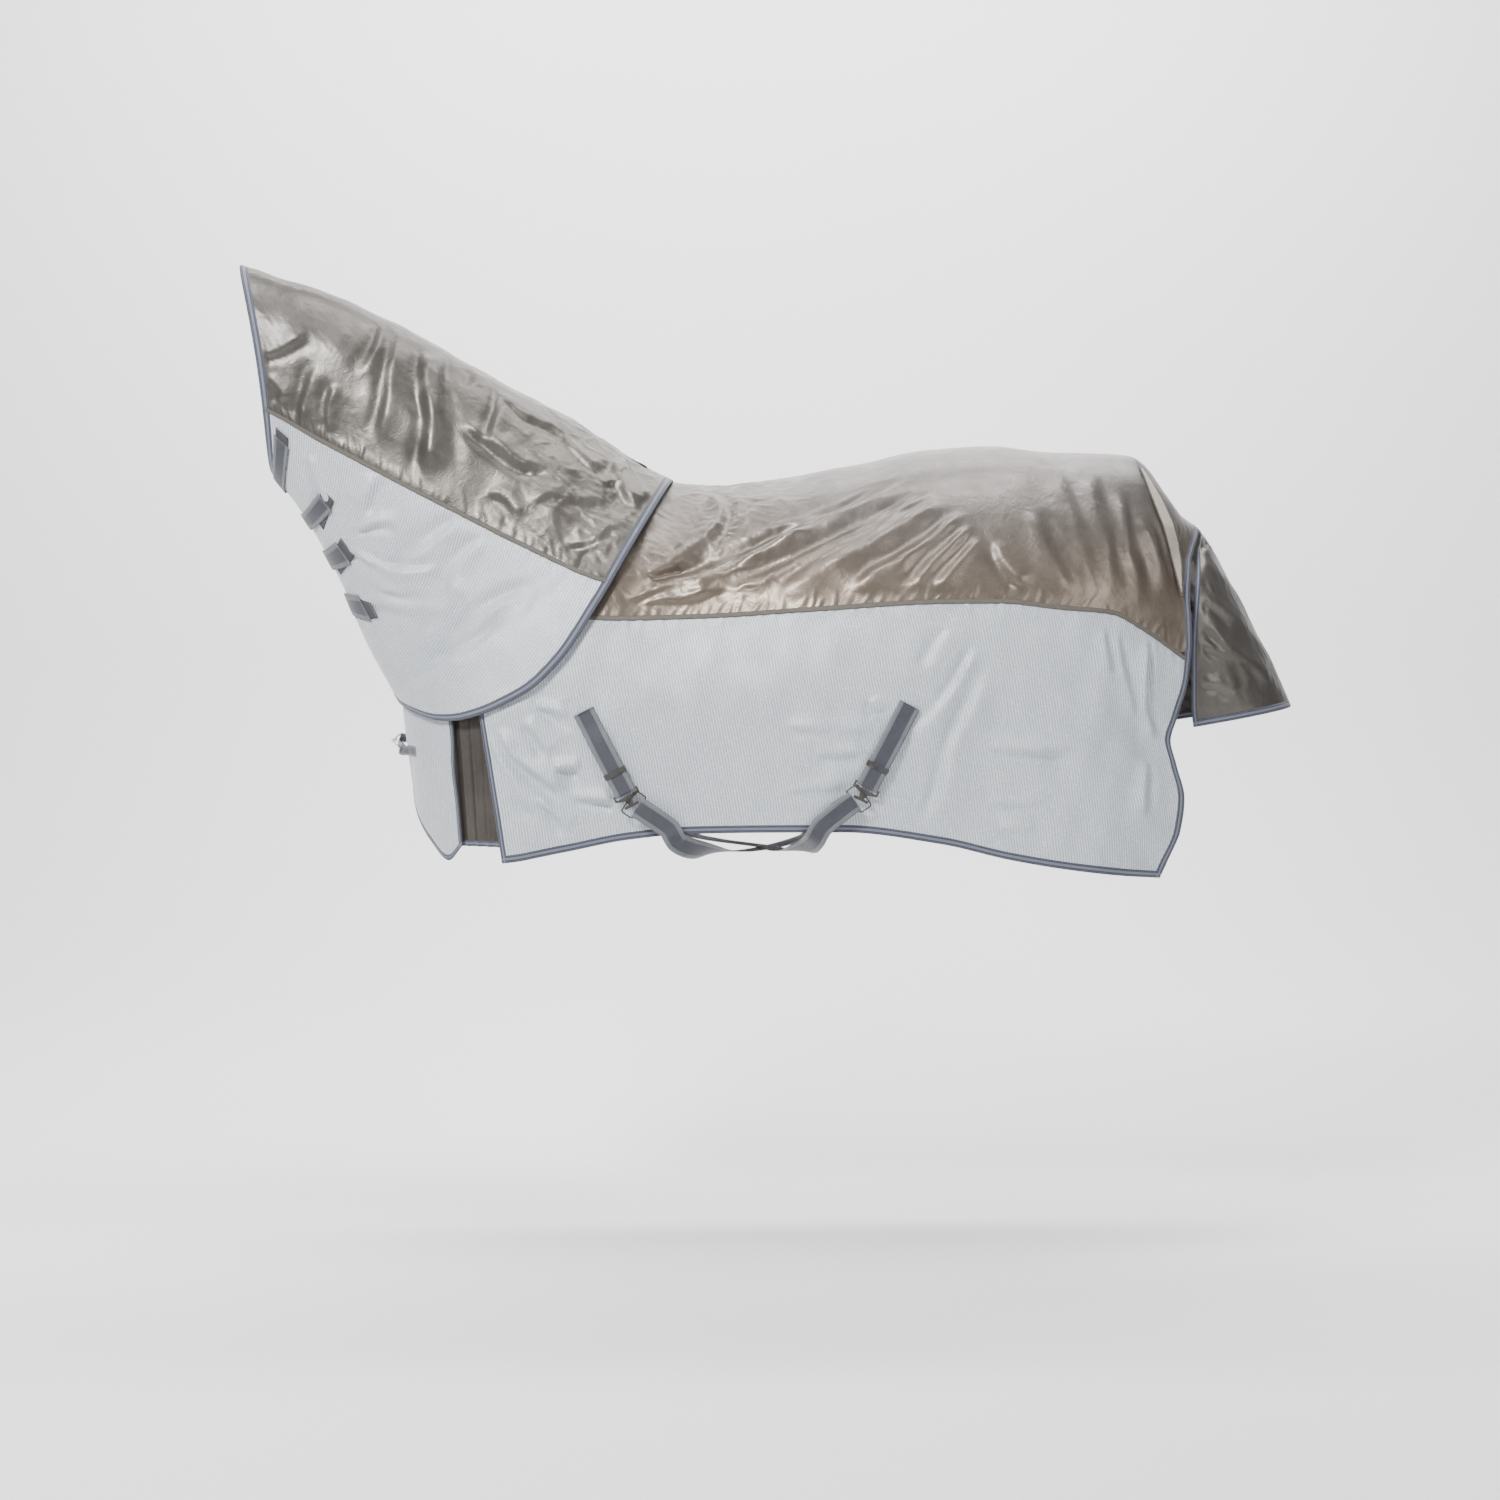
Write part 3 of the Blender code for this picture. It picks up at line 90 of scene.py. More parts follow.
WRAP_START = -0.300
CHEST_LENGTH = 0.306
CHEST_HALF_WIDTH = 0.270
WRAP_ARC = 0.455
CHEST_SLOPE = 0.12
CHEST_SLOPE_TOP = -0.500
REAR = 1.134
TOP_START = -0.070
WARP_START = 0.800

TOPLINE = ((-0.755, -0.466), (-0.603, -0.448), (-0.452, -0.375), (-0.30, -0.258), (-0.20, -0.163),
           (-0.13, -0.078), (-0.07, 0.016), (-0.012, 0.0035), (0.044, -0.003), (0.163, 0.003),
           (0.358, 0.036), (0.554, 0.075), (0.690, 0.082), (0.820, 0.066), (0.92, 0.064),
           (0.977, 0.060), (1.007, 0.044), (1.05, -0.006), (1.095, -0.066), (1.134, -0.098))
NECKLINE_WIDTH = ((-0.755, 0.0), (-0.60, 0.118), (-0.452, 0.178), (-0.30, 0.200), (-0.20, 0.178),
                  (-0.13, 0.118), (-0.07, 0.0), (1.134, 0.0))
HALF_WIDTH = ((-0.30, 0.270), (-0.10, 0.282), (0.10, 0.300), (0.30, 0.325), (0.50, 0.329),
              (0.70, 0.320), (0.86, 0.298), (1.00, 0.255), (1.134, 0.200))
WIDEST = ((-0.755, -0.56), (-0.45, -0.53), (-0.30, -0.50), (0.0, -0.47), (0.4, -0.45), (0.8, -0.38),
          (1.134, -0.36))
ROUNDNESS = ((-0.755, 2.0), (-0.30, 1.9), (0.0, 1.55), (0.2, 1.75), (0.6, 2.15), (0.9, 2.3),
             (1.134, 2.0))
HEM_INWARD = ((-0.755, 0.0), (-0.30, 0.012), (0.1, 0.020), (0.5, 0.022), (0.8, 0.0), (1.134, -0.02))
SEAM = ((-0.31, -0.278), (-0.12, -0.291), (0.05, -0.287), (0.30, -0.271), (0.55, -0.256),
        (0.67, -0.255), (0.80, -0.268), (0.92, -0.278), (1.0, -0.310), (1.134, -0.385))
HEM = ((-0.43, -0.812), (-0.365, -0.808), (-0.24, -0.785), (-0.10, -0.757), (0.03, -0.744),
       (0.35, -0.738), (0.55, -0.762), (0.70, -0.796), (0.85, -0.820), (1.134, -0.843))
REAR_EDGE = ((-0.098, 1.134), (-0.144, 1.108), (-0.174, 1.096), (-0.25, 1.090), (-0.33, 1.092),
             (-0.42, 1.084), (-0.50, 1.062), (-0.55, 1.046), (-0.60, 1.060), (-0.67, 1.077),
             (-0.74, 1.070), (-0.80, 1.044), (-0.843, 1.024))
PANEL_FRONT = (-0.430, -0.377)      # the side panel's front edge, at its top and at its hem
FLAP_FRONT = -0.747
FLAP_REAR = -0.474
FLAP_HEM = ((-0.747, -0.650), (-0.730, -0.682), (-0.690, -0.714), (-0.651, -0.739),
            (-0.59, -0.775), (-0.526, -0.809), (-0.474, -0.774))
GUSSET = (-0.492, -0.360)
GUSSET_HEM = -0.777

# Neck cover: crest and throat lines by share of their length from the poll to the apron's edge.
CREST = ((0.0, -0.956, 0.475), (0.2, -0.760, 0.411), (0.4, -0.571, 0.325), (0.6, -0.384, 0.219),
         (0.8, -0.195, 0.116), (0.92, -0.084, 0.043), (1.0, -0.012, 0.0062))
THROAT = ((0.0, -0.892, 0.026), (0.2, -0.835, -0.048), (0.4, -0.785, -0.130), (0.6, -0.735, -0.228),
          (0.8, -0.690, -0.340), (1.0, -0.619, -0.473))
NECK_HALF_WIDTH = ((0.0, 0.098), (0.3, 0.118), (0.5, 0.140), (0.7, 0.172), (0.85, 0.210),
                   (1.0, 0.250))
POLL_BULGE = 0.020
APRON_BULGE = ((0.0, 0.0), (0.1, 0.033), (0.2, 0.065), (0.37, 0.119), (0.555, 0.164), (0.64, 0.171),
               (0.75, 0.158), (0.84, 0.135), (0.91, 0.100), (0.96, 0.052), (1.0, 0.0))
APRON_START = 0.45
NECK_SEAM = ((0.0, 0.700), (0.25, 0.640), (0.5, 0.560), (0.75, 0.430), (0.9, 0.345), (1.0, 0.302))
THROAT_GAP = 0.004           # half the gap between the two throat edges
# Throat straps: where each one's middle lies along the throat line and at its free end, and how far
# round the neck that end lies, as a share of the way from the crest.
THROAT_STRAPS = ((0.075, 0.10, 0.69), (0.28, 0.375, 0.73), (0.47, 0.525, 0.80), (0.658, 0.688, 0.855))
STRAP_SEWN_ANGLE = 0.42      # how far round the right side each strap is sewn

# Tail flap: ridge line and side edge, top to bottom.
FLAP_RIDGE = ((0.0, 1.1345, -0.0984), (0.25, 1.203, -0.211), (0.55, 1.270, -0.335),
              (0.85, 1.325, -0.445), (1.0, 1.342, -0.486))
FLAP_SIDE = ((0.0, 1.118, 0.095, -0.146), (0.25, 1.099, 0.162, -0.240), (0.6, 1.091, 0.166, -0.380),
             (0.85, 1.093, 0.154, -0.475), (1.0, 1.100, 0.143, -0.527))
# Tail gusset wedge on each side of the dock: station and height of its front and rear boundary.
WEDGE_FRONT = ((0.0, 0.988, 0.027), (0.35, 1.008, -0.050), (0.65, 1.034, -0.130), (1.0, 1.064, -0.245))
WEDGE_REAR = ((0.0, 0.998, 0.026), (0.35, 1.036, -0.053), (0.65, 1.063, -0.134), (1.0, 1.080, -0.249))

# Surcingles: top of each sewn tab on the left side, and the slope of the tab.
TAB_TOPS = {"front": (-0.194, -0.485), "rear": (0.485, -0.469)}
TAB_SLOPE = 0.52             # run along the horse for each metre down
UNDER_BELLY = -0.796
CROSSING = 0.190
HINGE_HEIGHT = -0.766        # where the belly straps bend round the far hem
BELLY_LEAN = 0.85            # forward lean of a belly strap below its hook
BELLY_HEM_RUN = 0.050        # from the receiver to the hem, along the horse
BELLY_ROOM = 0.45            # how far outside the hem a belly strap passes, in webbing widths

# Chest fastening: the eye's bar in front of the left flap, and the ways the snap and the ring lie.
EYE_BAR = (0.0, -0.028, -0.578)
CHEST_STANDOFF = 0.012
SNAP_WAY = Vector((-0.45, 0.80, 0.38))
RING_WAY = Vector((0.50, 0.85, 0.05))
SNAP_BIGHT = 0.0405
RING_REACH = 0.021


def between(a, b, share):
    """The value a share of the way from a to b."""
    return a + (b - a) * share


def ramp(value, start, end):
    """Smooth step from 0 at start to 1 at end."""
    t = min(1.0, max(0.0, (value - start) / (end - start)))
    return t * t * (3 - 2 * t)


def curve_through(table, column=1):
    """A smooth function through a table's points, without overshoot (monotone cubic)."""
    xs = [row[0] for row in table]
    ys = [row[column] for row in table]
    if xs[0] > xs[-1]:
        xs.reverse()
        ys.reverse()
    slopes = [(ys[i + 1] - ys[i]) / (xs[i + 1] - xs[i]) for i in range(len(xs) - 1)]
    ends = [slopes[0]]
    for before, after in zip(slopes, slopes[1:]):
        ends.append(0.0 if before * after <= 0 else 2 * before * after / (before + after))
    ends.append(slopes[-1])

    def value(x):
        x = min(xs[-1], max(xs[0], x))
        i = 0
        while i < len(slopes) - 1 and x > xs[i + 1]:
            i += 1
        span = xs[i + 1] - xs[i]
        t = (x - xs[i]) / span
        return ((2 * t ** 3 - 3 * t ** 2 + 1) * ys[i] + (t ** 3 - 2 * t ** 2 + t) * span * ends[i]
                + (3 * t ** 2 - 2 * t ** 3) * ys[i + 1] + (t ** 3 - t ** 2) * span * ends[i + 1])

    return value


top_height = curve_through(TOPLINE)
neckline_width = curve_through(NECKLINE_WIDTH)
half_width = curve_through(HALF_WIDTH)
widest_height = curve_through(WIDEST)
roundness = curve_through(ROUNDNESS)
hem_inward = curve_through(HEM_INWARD)
seam_height = curve_through(SEAM)
hem_height = curve_through(HEM)
rear_edge = curve_through(REAR_EDGE)
flap_hem = curve_through(FLAP_HEM)
crest_x, crest_z = (curve_through(CREST, c) for c in (1, 2))
throat_x, throat_z = (curve_through(THROAT, c) for c in (1, 2))
neck_half_width = curve_through(NECK_HALF_WIDTH)
apron_bulge = curve_through(APRON_BULGE)
neck_seam = curve_through(NECK_SEAM)
ridge_x, ridge_z = (curve_through(FLAP_RIDGE, c) for c in (1, 2))
wedge_front, wedge_rear = ([curve_through(table, c) for c in (1, 2)] for table in (WEDGE_FRONT, WEDGE_REAR))
side_x, side_y, side_z = (curve_through(FLAP_SIDE, c) for c in (1, 2, 3))


def section(u):
    """Turn round the chest, half width, neckline width, top and widest heights at station u."""
    turn = max(0.0, (WRAP_START - u) / WRAP_ARC) * math.pi / 2
    width = CHEST_HALF_WIDTH * math.cos(turn) if turn > 0 else half_width(u)
    neck = min(neckline_width(u), width)
    return turn, width, neck, top_height(u), widest_height(u)


def body_point(u, z, side, lift=0.0):
    """Point of the body sheet at station u and height z, lifted off along its normal."""
    if lift:
        step = 0.004
        here = body_point(u, z, side)
        along = body_point(u + step, z, side) - body_point(u - step, z, side)
        down = body_point(u, z - step, side) - body_point(u, min(z + step, top_height(u)), side)
        normal = along.cross(down).normalized()
        if normal.y * side < 0:
            normal.negate()
        return here + normal * lift
    turn, width, neck, top, widest = section(u)
    if z >= widest:
        rise = min(1.0, (z - widest) / (top - widest))
        n = roundness(u)
        y = neck + (width - neck) * max(0.0, 1 - rise ** n) ** (1 / n)
    else:
        fall = (widest - z) / (widest - hem_height(u))
        y = width - hem_inward(u) * max(0.0, fall) ** 1.5
    if turn > 0:
        slope = CHEST_SLOPE * max(0.0, CHEST_SLOPE_TOP - z)
        x = WRAP_START - (CHEST_LENGTH - slope) * math.sin(turn)
    else:
        x = u + ramp(u, WARP_START, REAR) * (rear_edge(z) - REAR)
    return Vector((x, side * y, z))


def height_at(u, share):
    """Height a share of the way down the rounded top of the section, even in angle."""
    top, widest = top_height(u), widest_height(u)
    return widest + (top - widest) * math.cos(share * math.pi / 2) ** (2 / roundness(u))


def share_at(u, z):
    """The share that height_at turns into z."""
    top, widest = top_height(u), widest_height(u)
    rise = min(1.0, max(0.0, (z - widest) / (top - widest)))
    return math.acos(rise ** (roundness(u) / 2)) * 2 / math.pi


def body_half_width(x, z, margin):
    """Half width of the body sheet at x and z, grown outward by a margin, for what lies over it."""
    if x >= WRAP_START:
        u, width = x, half_width(x) + margin
    else:
        forward = (WRAP_START - x) / (CHEST_LENGTH + margin)
        if forward >= 1:
            return 0.0
        u = WRAP_START - WRAP_ARC * math.asin(forward) * 2 / math.pi
        width = (CHEST_HALF_WIDTH + margin) * math.sqrt(1 - forward ** 2)
    neck, widest = neckline_width(u), widest_height(u)
    neck = min(width, neck + margin) if neck > 0 else 0.0
    top = top_height(u) + margin
    if z <= widest:
        return width
    rise = (z - widest) / (top - widest)
    if rise < 1:
        n = roundness(u)
        return neck + (width - neck) * (1 - rise ** n) ** (1 / n)
    return neck * max(0.0, 1 - (z - top) / (0.09))


def neck_point(t, angle, side, lift=0.0):
    """Point of the neck cover: t from poll to apron edge, angle from the crest to the throat."""
    if lift:
        step = 0.01
        here = neck_point(t, angle, side)
        along = neck_point(min(1, t + step), angle, side) - neck_point(t - step, angle, side)
        round_ = neck_point(t, min(math.pi, angle + step), side) - neck_point(t, angle - step, side)
        normal = along.cross(round_).normalized()
        if normal.y * side < 0:
            normal.negate()
        return here + normal * lift
    crest = Vector((crest_x(t), crest_z(t)))
    throat = Vector((throat_x(t), throat_z(t)))
    q = (1 - math.cos(angle)) / 2
    chord = throat - crest
    out = Vector((-chord.y, chord.x)).normalized()
    flat = crest + chord * q + out * apron_bulge(q) * ramp(t, APRON_START, 1.0)
    flat += Vector((POLL_BULGE * (1 - ramp(t, 0.0, 0.3)) * math.sin(angle) ** 2, 0))
    ring = math.sin(angle)
    y = neck_half_width(t) * ring
    seat = math.hypot(flat.x - crest_x(1.0), flat.y - crest_z(1.0))
    margin = min(APRON_ROOM, CLOTH + CLEARANCE + 0.35 * seat)
    body = body_half_width(flat.x, flat.y, margin) * ramp(t, 0.55, 0.8)
    soft = 0.02 * ring
    y = 0.5 * (y + body + math.sqrt((y - body) ** 2 + soft ** 2))
    return Vector((flat.x, side * y, flat.y))


def tail_point(s, across):
    """Point of the tail flap: s from its root to its lower edge, across from -1 to 1."""
    angle = abs(across) * math.pi / 2
    ridge = Vector((ridge_x(s), 0, ridge_z(s)))
    edge = Vector((side_x(s), 0, side_z(s)))
    point = edge + (ridge - edge) * math.cos(angle)
    point.y = math.copysign(side_y(s) * math.sin(angle), across)
    return point


def strip_rows(path, hints, width):
    """Left and right edge points of a strap along a path."""
    rows = []
    for i, point in enumerate(path):
        tangent = (path[min(i + 1, len(path) - 1)] - path[max(i - 1, 0)]).normalized()
        normal = (hints[i] - tangent * hints[i].dot(tangent)).normalized()
        across = tangent.cross(normal) * width / 2
        rows.append([point - across, point + across])
    return rows


def smooth_path(knots, spacing):
    """Points along a smooth curve through the knots, about a spacing apart."""
    points = []
    for i in range(len(knots) - 1):
        before = knots[max(i - 1, 0)]
        after = knots[min(i + 2, len(knots) - 1)]
        a, b = knots[i], knots[i + 1]
        steps = max(1, round((b - a).length / spacing))
        for k in range(steps):
            t = k / steps
            points.append(0.5 * (2 * a + (b - before) * t + (2 * before - 5 * a + 4 * b - after) * t ** 2
                                 + (3 * a - before - 3 * b + after) * t ** 3))
    points.append(knots[-1])
    return points


def solve(distance, low, high):
    """Bisect for where a falling distance function reaches zero."""
    for _ in range(22):
        middle = (low + high) / 2
        if distance(middle) > 0:
            low = middle
        else:
            high = middle
    return (low + high) / 2


def seam_angle(t):
    """How far round the neck cover the panel seam lies."""
    return math.acos(1 - 2 * neck_seam(t))


def throat_angle(t):
    """Where the throat edge stops, short of the middle."""
    return solve(lambda a: neck_point(t, a, 1).y - THROAT_GAP, math.pi * 0.75, math.pi)


# ---------------------------------------------------------------- grids of cloth

def cubic(grid, count, axis):
    """A grid resampled smoothly to count points along one axis."""
    grid = np.moveaxis(grid, axis, 0)
    n = len(grid)
    at = np.linspace(0, n - 1, count)
    i = np.minimum(at.astype(int), n - 2)
    t = (at - i).reshape((-1,) + (1,) * (grid.ndim - 1))
    b, c = grid[i], grid[i + 1]
    a = np.where((i > 0).reshape(t.shape), grid[np.maximum(i - 1, 0)], 2 * b - c)
    d = np.where((i < n - 2).reshape(t.shape), grid[np.minimum(i + 2, n - 1)], 2 * c - b)
    out = 0.5 * (2 * b + (c - a) * t + (2 * a - 5 * b + 4 * c - d) * t ** 2
                 + (3 * b - a - 3 * c + d) * t ** 3)
    return np.moveaxis(out, 0, axis)


def lengths(grid, axis):
    """Distance along one axis of a grid of points."""
    step = np.linalg.norm(np.diff(grid, axis=axis), axis=2)
    return np.insert(np.cumsum(step, axis=axis), 0, 0, axis=axis)


def unit(v):
    """Vectors scaled to length one."""
    return v / np.maximum(np.linalg.norm(v, axis=-1, keepdims=True), 1e-12)


def smooth(x, low, high):
    """Smooth step of an array, from 0 at low to 1 at high."""
    t = np.clip((x - low) / (high - low), 0, 1)
    return t * t * (3 - 2 * t)


class Cloth:
    """A grid of points on a pattern surface: rows along the horse, columns round it."""

    def __init__(self, where, coarse, fine, outward):
        rows, columns = coarse
        points = [[where(i / (rows - 1), j / (columns - 1)) for j in range(columns)] for i in range(rows)]
        self.p = cubic(cubic(np.array(points, dtype=float), fine[0], 0), fine[1], 1)
        self.outward = outward
        self.measure()
        self.flat_p = self.p
        self.u, self.v = lengths(self.p, 0), lengths(self.p, 1)

    def measure(self):
        n = np.cross(np.gradient(self.p, axis=0), np.gradient(self.p, axis=1))
        self.n = unit(n) * self.outward

    def lift(self, field):
        self.p = self.p + self.n * field[..., None]
        self.measure()

    def size(self):
        """Flat width, length and area of the cloth before it was hung."""
        width, length = self.v[:, -1].max(), self.u[-1].max()
        a, b = self.flat_p[1:, 1:] - self.flat_p[:-1, :-1], self.flat_p[1:, :-1] - self.flat_p[:-1, 1:]
        area = np.linalg.norm(np.cross(a, b), axis=2).sum() / 2
        return float(width), float(length), float(area)


# ---------------------------------------------------------------- folds

def noise(p, size, seed, count=10):
    """Smooth noise from crossing waves about a size long, from about -1.5 to 1.5."""
    random = np.random.default_rng(seed)
    total = np.zeros(p.shape[:-1])
    for _ in range(count):
        way = unit(random.normal(size=3)) * 2 * math.pi / (size * random.uniform(0.7, 1.6))
        total += np.sin(p @ way + random.uniform(0, 2 * math.pi))
    return total * math.sqrt(2 / count)


def crumple(p, size, seed, grain=(0.55, 0.0, -0.84), stretch=0.6):
    """Sharp little creases, mostly along one grain, as in crushed satin; about -1 to 1."""
    grain = np.array(grain)
    p = p - (p @ grain)[..., None] * grain * stretch
    bend = np.stack([noise(p, size * 2.6, seed + k) for k in (50, 90, 130)], -1) * size * 0.45
    first = 1 - 2 * np.abs(np.tanh(noise(p + bend, size * 1.6, seed) * 1.1))
    second = 1 - 2 * np.abs(np.tanh(noise(p - bend, size * 0.9, seed + 7) * 1.1))
    return 0.65 * first + 0.35 * second


def rounded(points, spacing=0.02):
    """Points along a smooth curve through some points."""
    return np.array(smooth_path([Vector(p) for p in points], spacing))


def fold_field(p, n, line, width, height, lean):
    """A fold along a line: a ridge, and a hollow on the side that it leans away from."""
    field = np.zeros(len(p))
    reach = width * 4.5
    near = np.all((p > line.min(0) - reach) & (p < line.max(0) + reach), axis=1)
    if not near.any():
        return field
    q, m = p[near], n[near]
    wander = np.stack([noise(q, 0.085, 201 + k) for k in range(3)], -1)
    q = q + 0.0016 * wander
    spans = np.linalg.norm(np.diff(line, axis=0), axis=1)
    best = np.full(len(q), 1e9)
    signed, share = np.zeros(len(q)), np.zeros(len(q))
    run = 0.0
    for a, b, span in zip(line[:-1], line[1:], spans):
        way = (b - a) / max(span, 1e-9)
        along = np.clip((q - a) @ way, 0, span)
        d = q - a - along[:, None] * way
        gap = np.linalg.norm(d, axis=1)
        closer = gap < best
        sign = np.where(np.einsum("ij,ij->i", np.cross(way, m), d) > 0, 1.0, -1.0)
        best = np.where(closer, gap, best)
        signed = np.where(closer, gap * sign, signed)
        share = np.where(closer, (run + along) / spans.sum(), share)
        run += span
    taper = smooth(share, 0.0, 0.2) * (1 - smooth(share, 0.75, 1.0))
    x = signed * lean / (width * (0.7 + 0.6 * share))
    ridge = np.exp(-np.where(x > 0, np.abs(x * 1.35) ** 1.9, np.abs(x * 0.72) ** 1.6))
    hollow = np.exp(-((x - 1.5) / 0.85) ** 2)
    uneven = 0.9 + 0.16 * noise(q, 0.090, 207)
    field[near] = height * taper * uneven * (ridge - 0.7 * hollow)
    return field


def folds_on(cloth, folds, side=0, spread=1.0):
    """Field of a list of folds, each (width mm, height mm, lean, points seen from the left side).

    A cloth on both sides takes each fold on both, and the right side's are a little different.
    """
    shape = cloth.p.shape[:2]
    p, n = cloth.p.reshape(-1, 3), cloth.n.reshape(-1, 3)
    seen = p if side else cloth.p[:, :shape[1] // 2].reshape(-1, 3)
    field = np.zeros(len(p))
    for width, height, lean, marks in folds:
        at = [np.argmin((seen[:, 0] - x) ** 2 + (seen[:, 2] - z) ** 2) for x, z in marks]
        line = rounded(seen[at])
        change = np.array((0.014 * math.sin(width * 7 + height), 0, 0.006 * math.sin(height * 5)))
        if side <= 0:
            field += fold_field(p, n, line, spread * width / 1000, height / 1000, lean)
        if side >= 0:
            other = (line if side else line * (1, -1, 1)) + change
            field += fold_field(p, n, other, spread * width / 1000, 0.85 * height / 1000, -lean)
    return field.reshape(shape)


def gathers(along, away, seed, spacing, reach, height, slant=0.0):
    """Little gathers that run away from a seam; along it and away from it in metres."""
    random = np.random.default_rng(seed)
    field = np.zeros_like(along)
    at = along.min()
    while at < along.max():
        at += spacing * random.uniform(0.5, 1.6)
        long, tilt = reach * random.uniform(0.4, 1.3), slant + random.uniform(-0.4, 0.4)
        wide, high = spacing * random.uniform(0.15, 0.28), height * random.uniform(0.5, 1.2)
        x = (along - at - tilt * away) / wide
        near = (np.abs(x) < 4) & (away < long)
        shape = np.exp(-x[near] ** 2) - 0.5 * np.exp(-(x[near] - 1.5) ** 2)
        fade = smooth(away[near], 0.001, 0.006) * (1 - smooth(away[near], 0.15 * long, long))
        field[near] += shape * fade * high
    return field


# ---------------------------------------------------------------- making pieces

CLOTH_LOOK = 0.0008          # thickness of the cloth that shows
WELD_REACH = 0.00002
EDGE_POINTS = 8              # across a binding
STRAP_POINTS = 9             # across webbing
STRAP_SPACING = 0.006        # along webbing


def mesh_piece(name, grids, material):
    """One mesh from grids of quads: each (points, u, v, wraps across, capped ends)."""
    points, faces, uvs = [], [], []
    base = 0
    for p, u, v, wraps, capped in grids:
        rows, wide = p.shape[:2]
        index = base + np.arange(rows * wide).reshape(rows, wide)
        if wraps:
            index = np.hstack([index, index[:, :1]])
        corners = [(slice(None, -1), slice(None, -1)), (slice(1, None), slice(None, -1)),
                   (slice(1, None), slice(1, None)), (slice(None, -1), slice(1, None))]
        faces += np.stack([index[c] for c in corners], -1).reshape(-1, 4).tolist()
        uvs.append(np.stack([np.stack([u[c], v[c]], -1) for c in corners], 2).reshape(-1, 2))
        if capped:
            faces += [list(range(base, base + wide))[::-1],
                      list(range(base + (rows - 1) * wide, base + rows * wide))]
            uvs.append(np.full((2 * wide, 2), 0.02))
        points.append(p.reshape(-1, 3))
        base += rows * wide
    mesh = bpy.data.meshes.new(name)
    mesh.from_pydata(np.concatenate(points).tolist(), [], faces)
    layer = mesh.uv_layers.new(name="cut")
    layer.data.foreach_set("uv", np.concatenate(uvs).ravel())
    mesh.materials.append(material)
    mesh.shade_smooth()
    obj = bpy.data.objects.new(name, mesh)
    bpy.context.scene.collection.objects.link(obj)
    return obj


def panel(name, cloths, material):
    """Cloth from one or more grids, welded where they meet, as a thin solid."""
    obj = mesh_piece(name, [(c.p, c.u, c.v, False, False) for c in cloths], material)
    if len(cloths) > 1:
        weld = obj.modifiers.new("weld", "WELD")
        weld.merge_threshold = WELD_REACH
    solid = obj.modifiers.new("thickness", "SOLIDIFY")
    solid.thickness = CLOTH_LOOK
    solid.offset = 0.0
    return obj


def edge_rows(cloth, edge, width):
    """Points and normals from one edge of a cloth inward: its first or last row or column."""
    p, n = cloth.p, cloth.n
    if edge.endswith("last"):
        p, n = p[::-1, ::-1], n[::-1, ::-1]
    if edge.startswith("row"):
        p, n = p.transpose(1, 0, 2), n.transpose(1, 0, 2)
    if edge.endswith("last"):
        p, n = p[::-1], n[::-1]
    p, n = p[:, :24], n[:, :24]
    distance = lengths(p, 1)
    want = np.linspace(0.0, width, EDGE_POINTS)
    rows = [np.stack([np.interp(want, distance[i], q[i, :, c]) for c in range(3)], -1)
            for q in (p, n) for i in range(len(p))]
    rows = np.array(rows).reshape(2, len(p), EDGE_POINTS, 3)
    return rows[0], unit(rows[1])


def tube(rows, thickness, overhang=0.0012):
    """A closed flat tube on a strip of points and normals, as a grid for mesh_piece."""
    p, n = rows
    count = p.shape[1]
    x = np.linspace(0, 1, count)
    crown = (0.45 + 0.55 * np.sqrt(np.clip(1 - (2 * x - 1) ** 4, 0, 1))) * thickness / 2
    outer = p[:, :1] + unit(p[:, :1] - p[:, 1:2]) * overhang
    inner = p[:, -1:] + unit(p[:, -1:] - p[:, -2:-1]) * overhang * 0.3
    face = p + n * crown[None, :, None]
    back = p - n * crown[None, :, None]
    ring = np.concatenate([outer, face, inner, back[:, ::-1]], axis=1)
    length = lengths(p[:, :1], 0)
    across = np.concatenate([[0.0], x, [1.0], x[::-1], [0.0]])
    return ring, np.repeat(length, len(across), 1), np.repeat(across[None], len(p), 0), True, True


def end_to_end(*strips):
    """Strips of points and normals laid end to end."""
    return tuple(np.concatenate([s[i] for s in strips], axis=0) for i in (0, 1))


def turned(strip):
    """A strip run the other way."""
    return strip[0][::-1], strip[1][::-1]


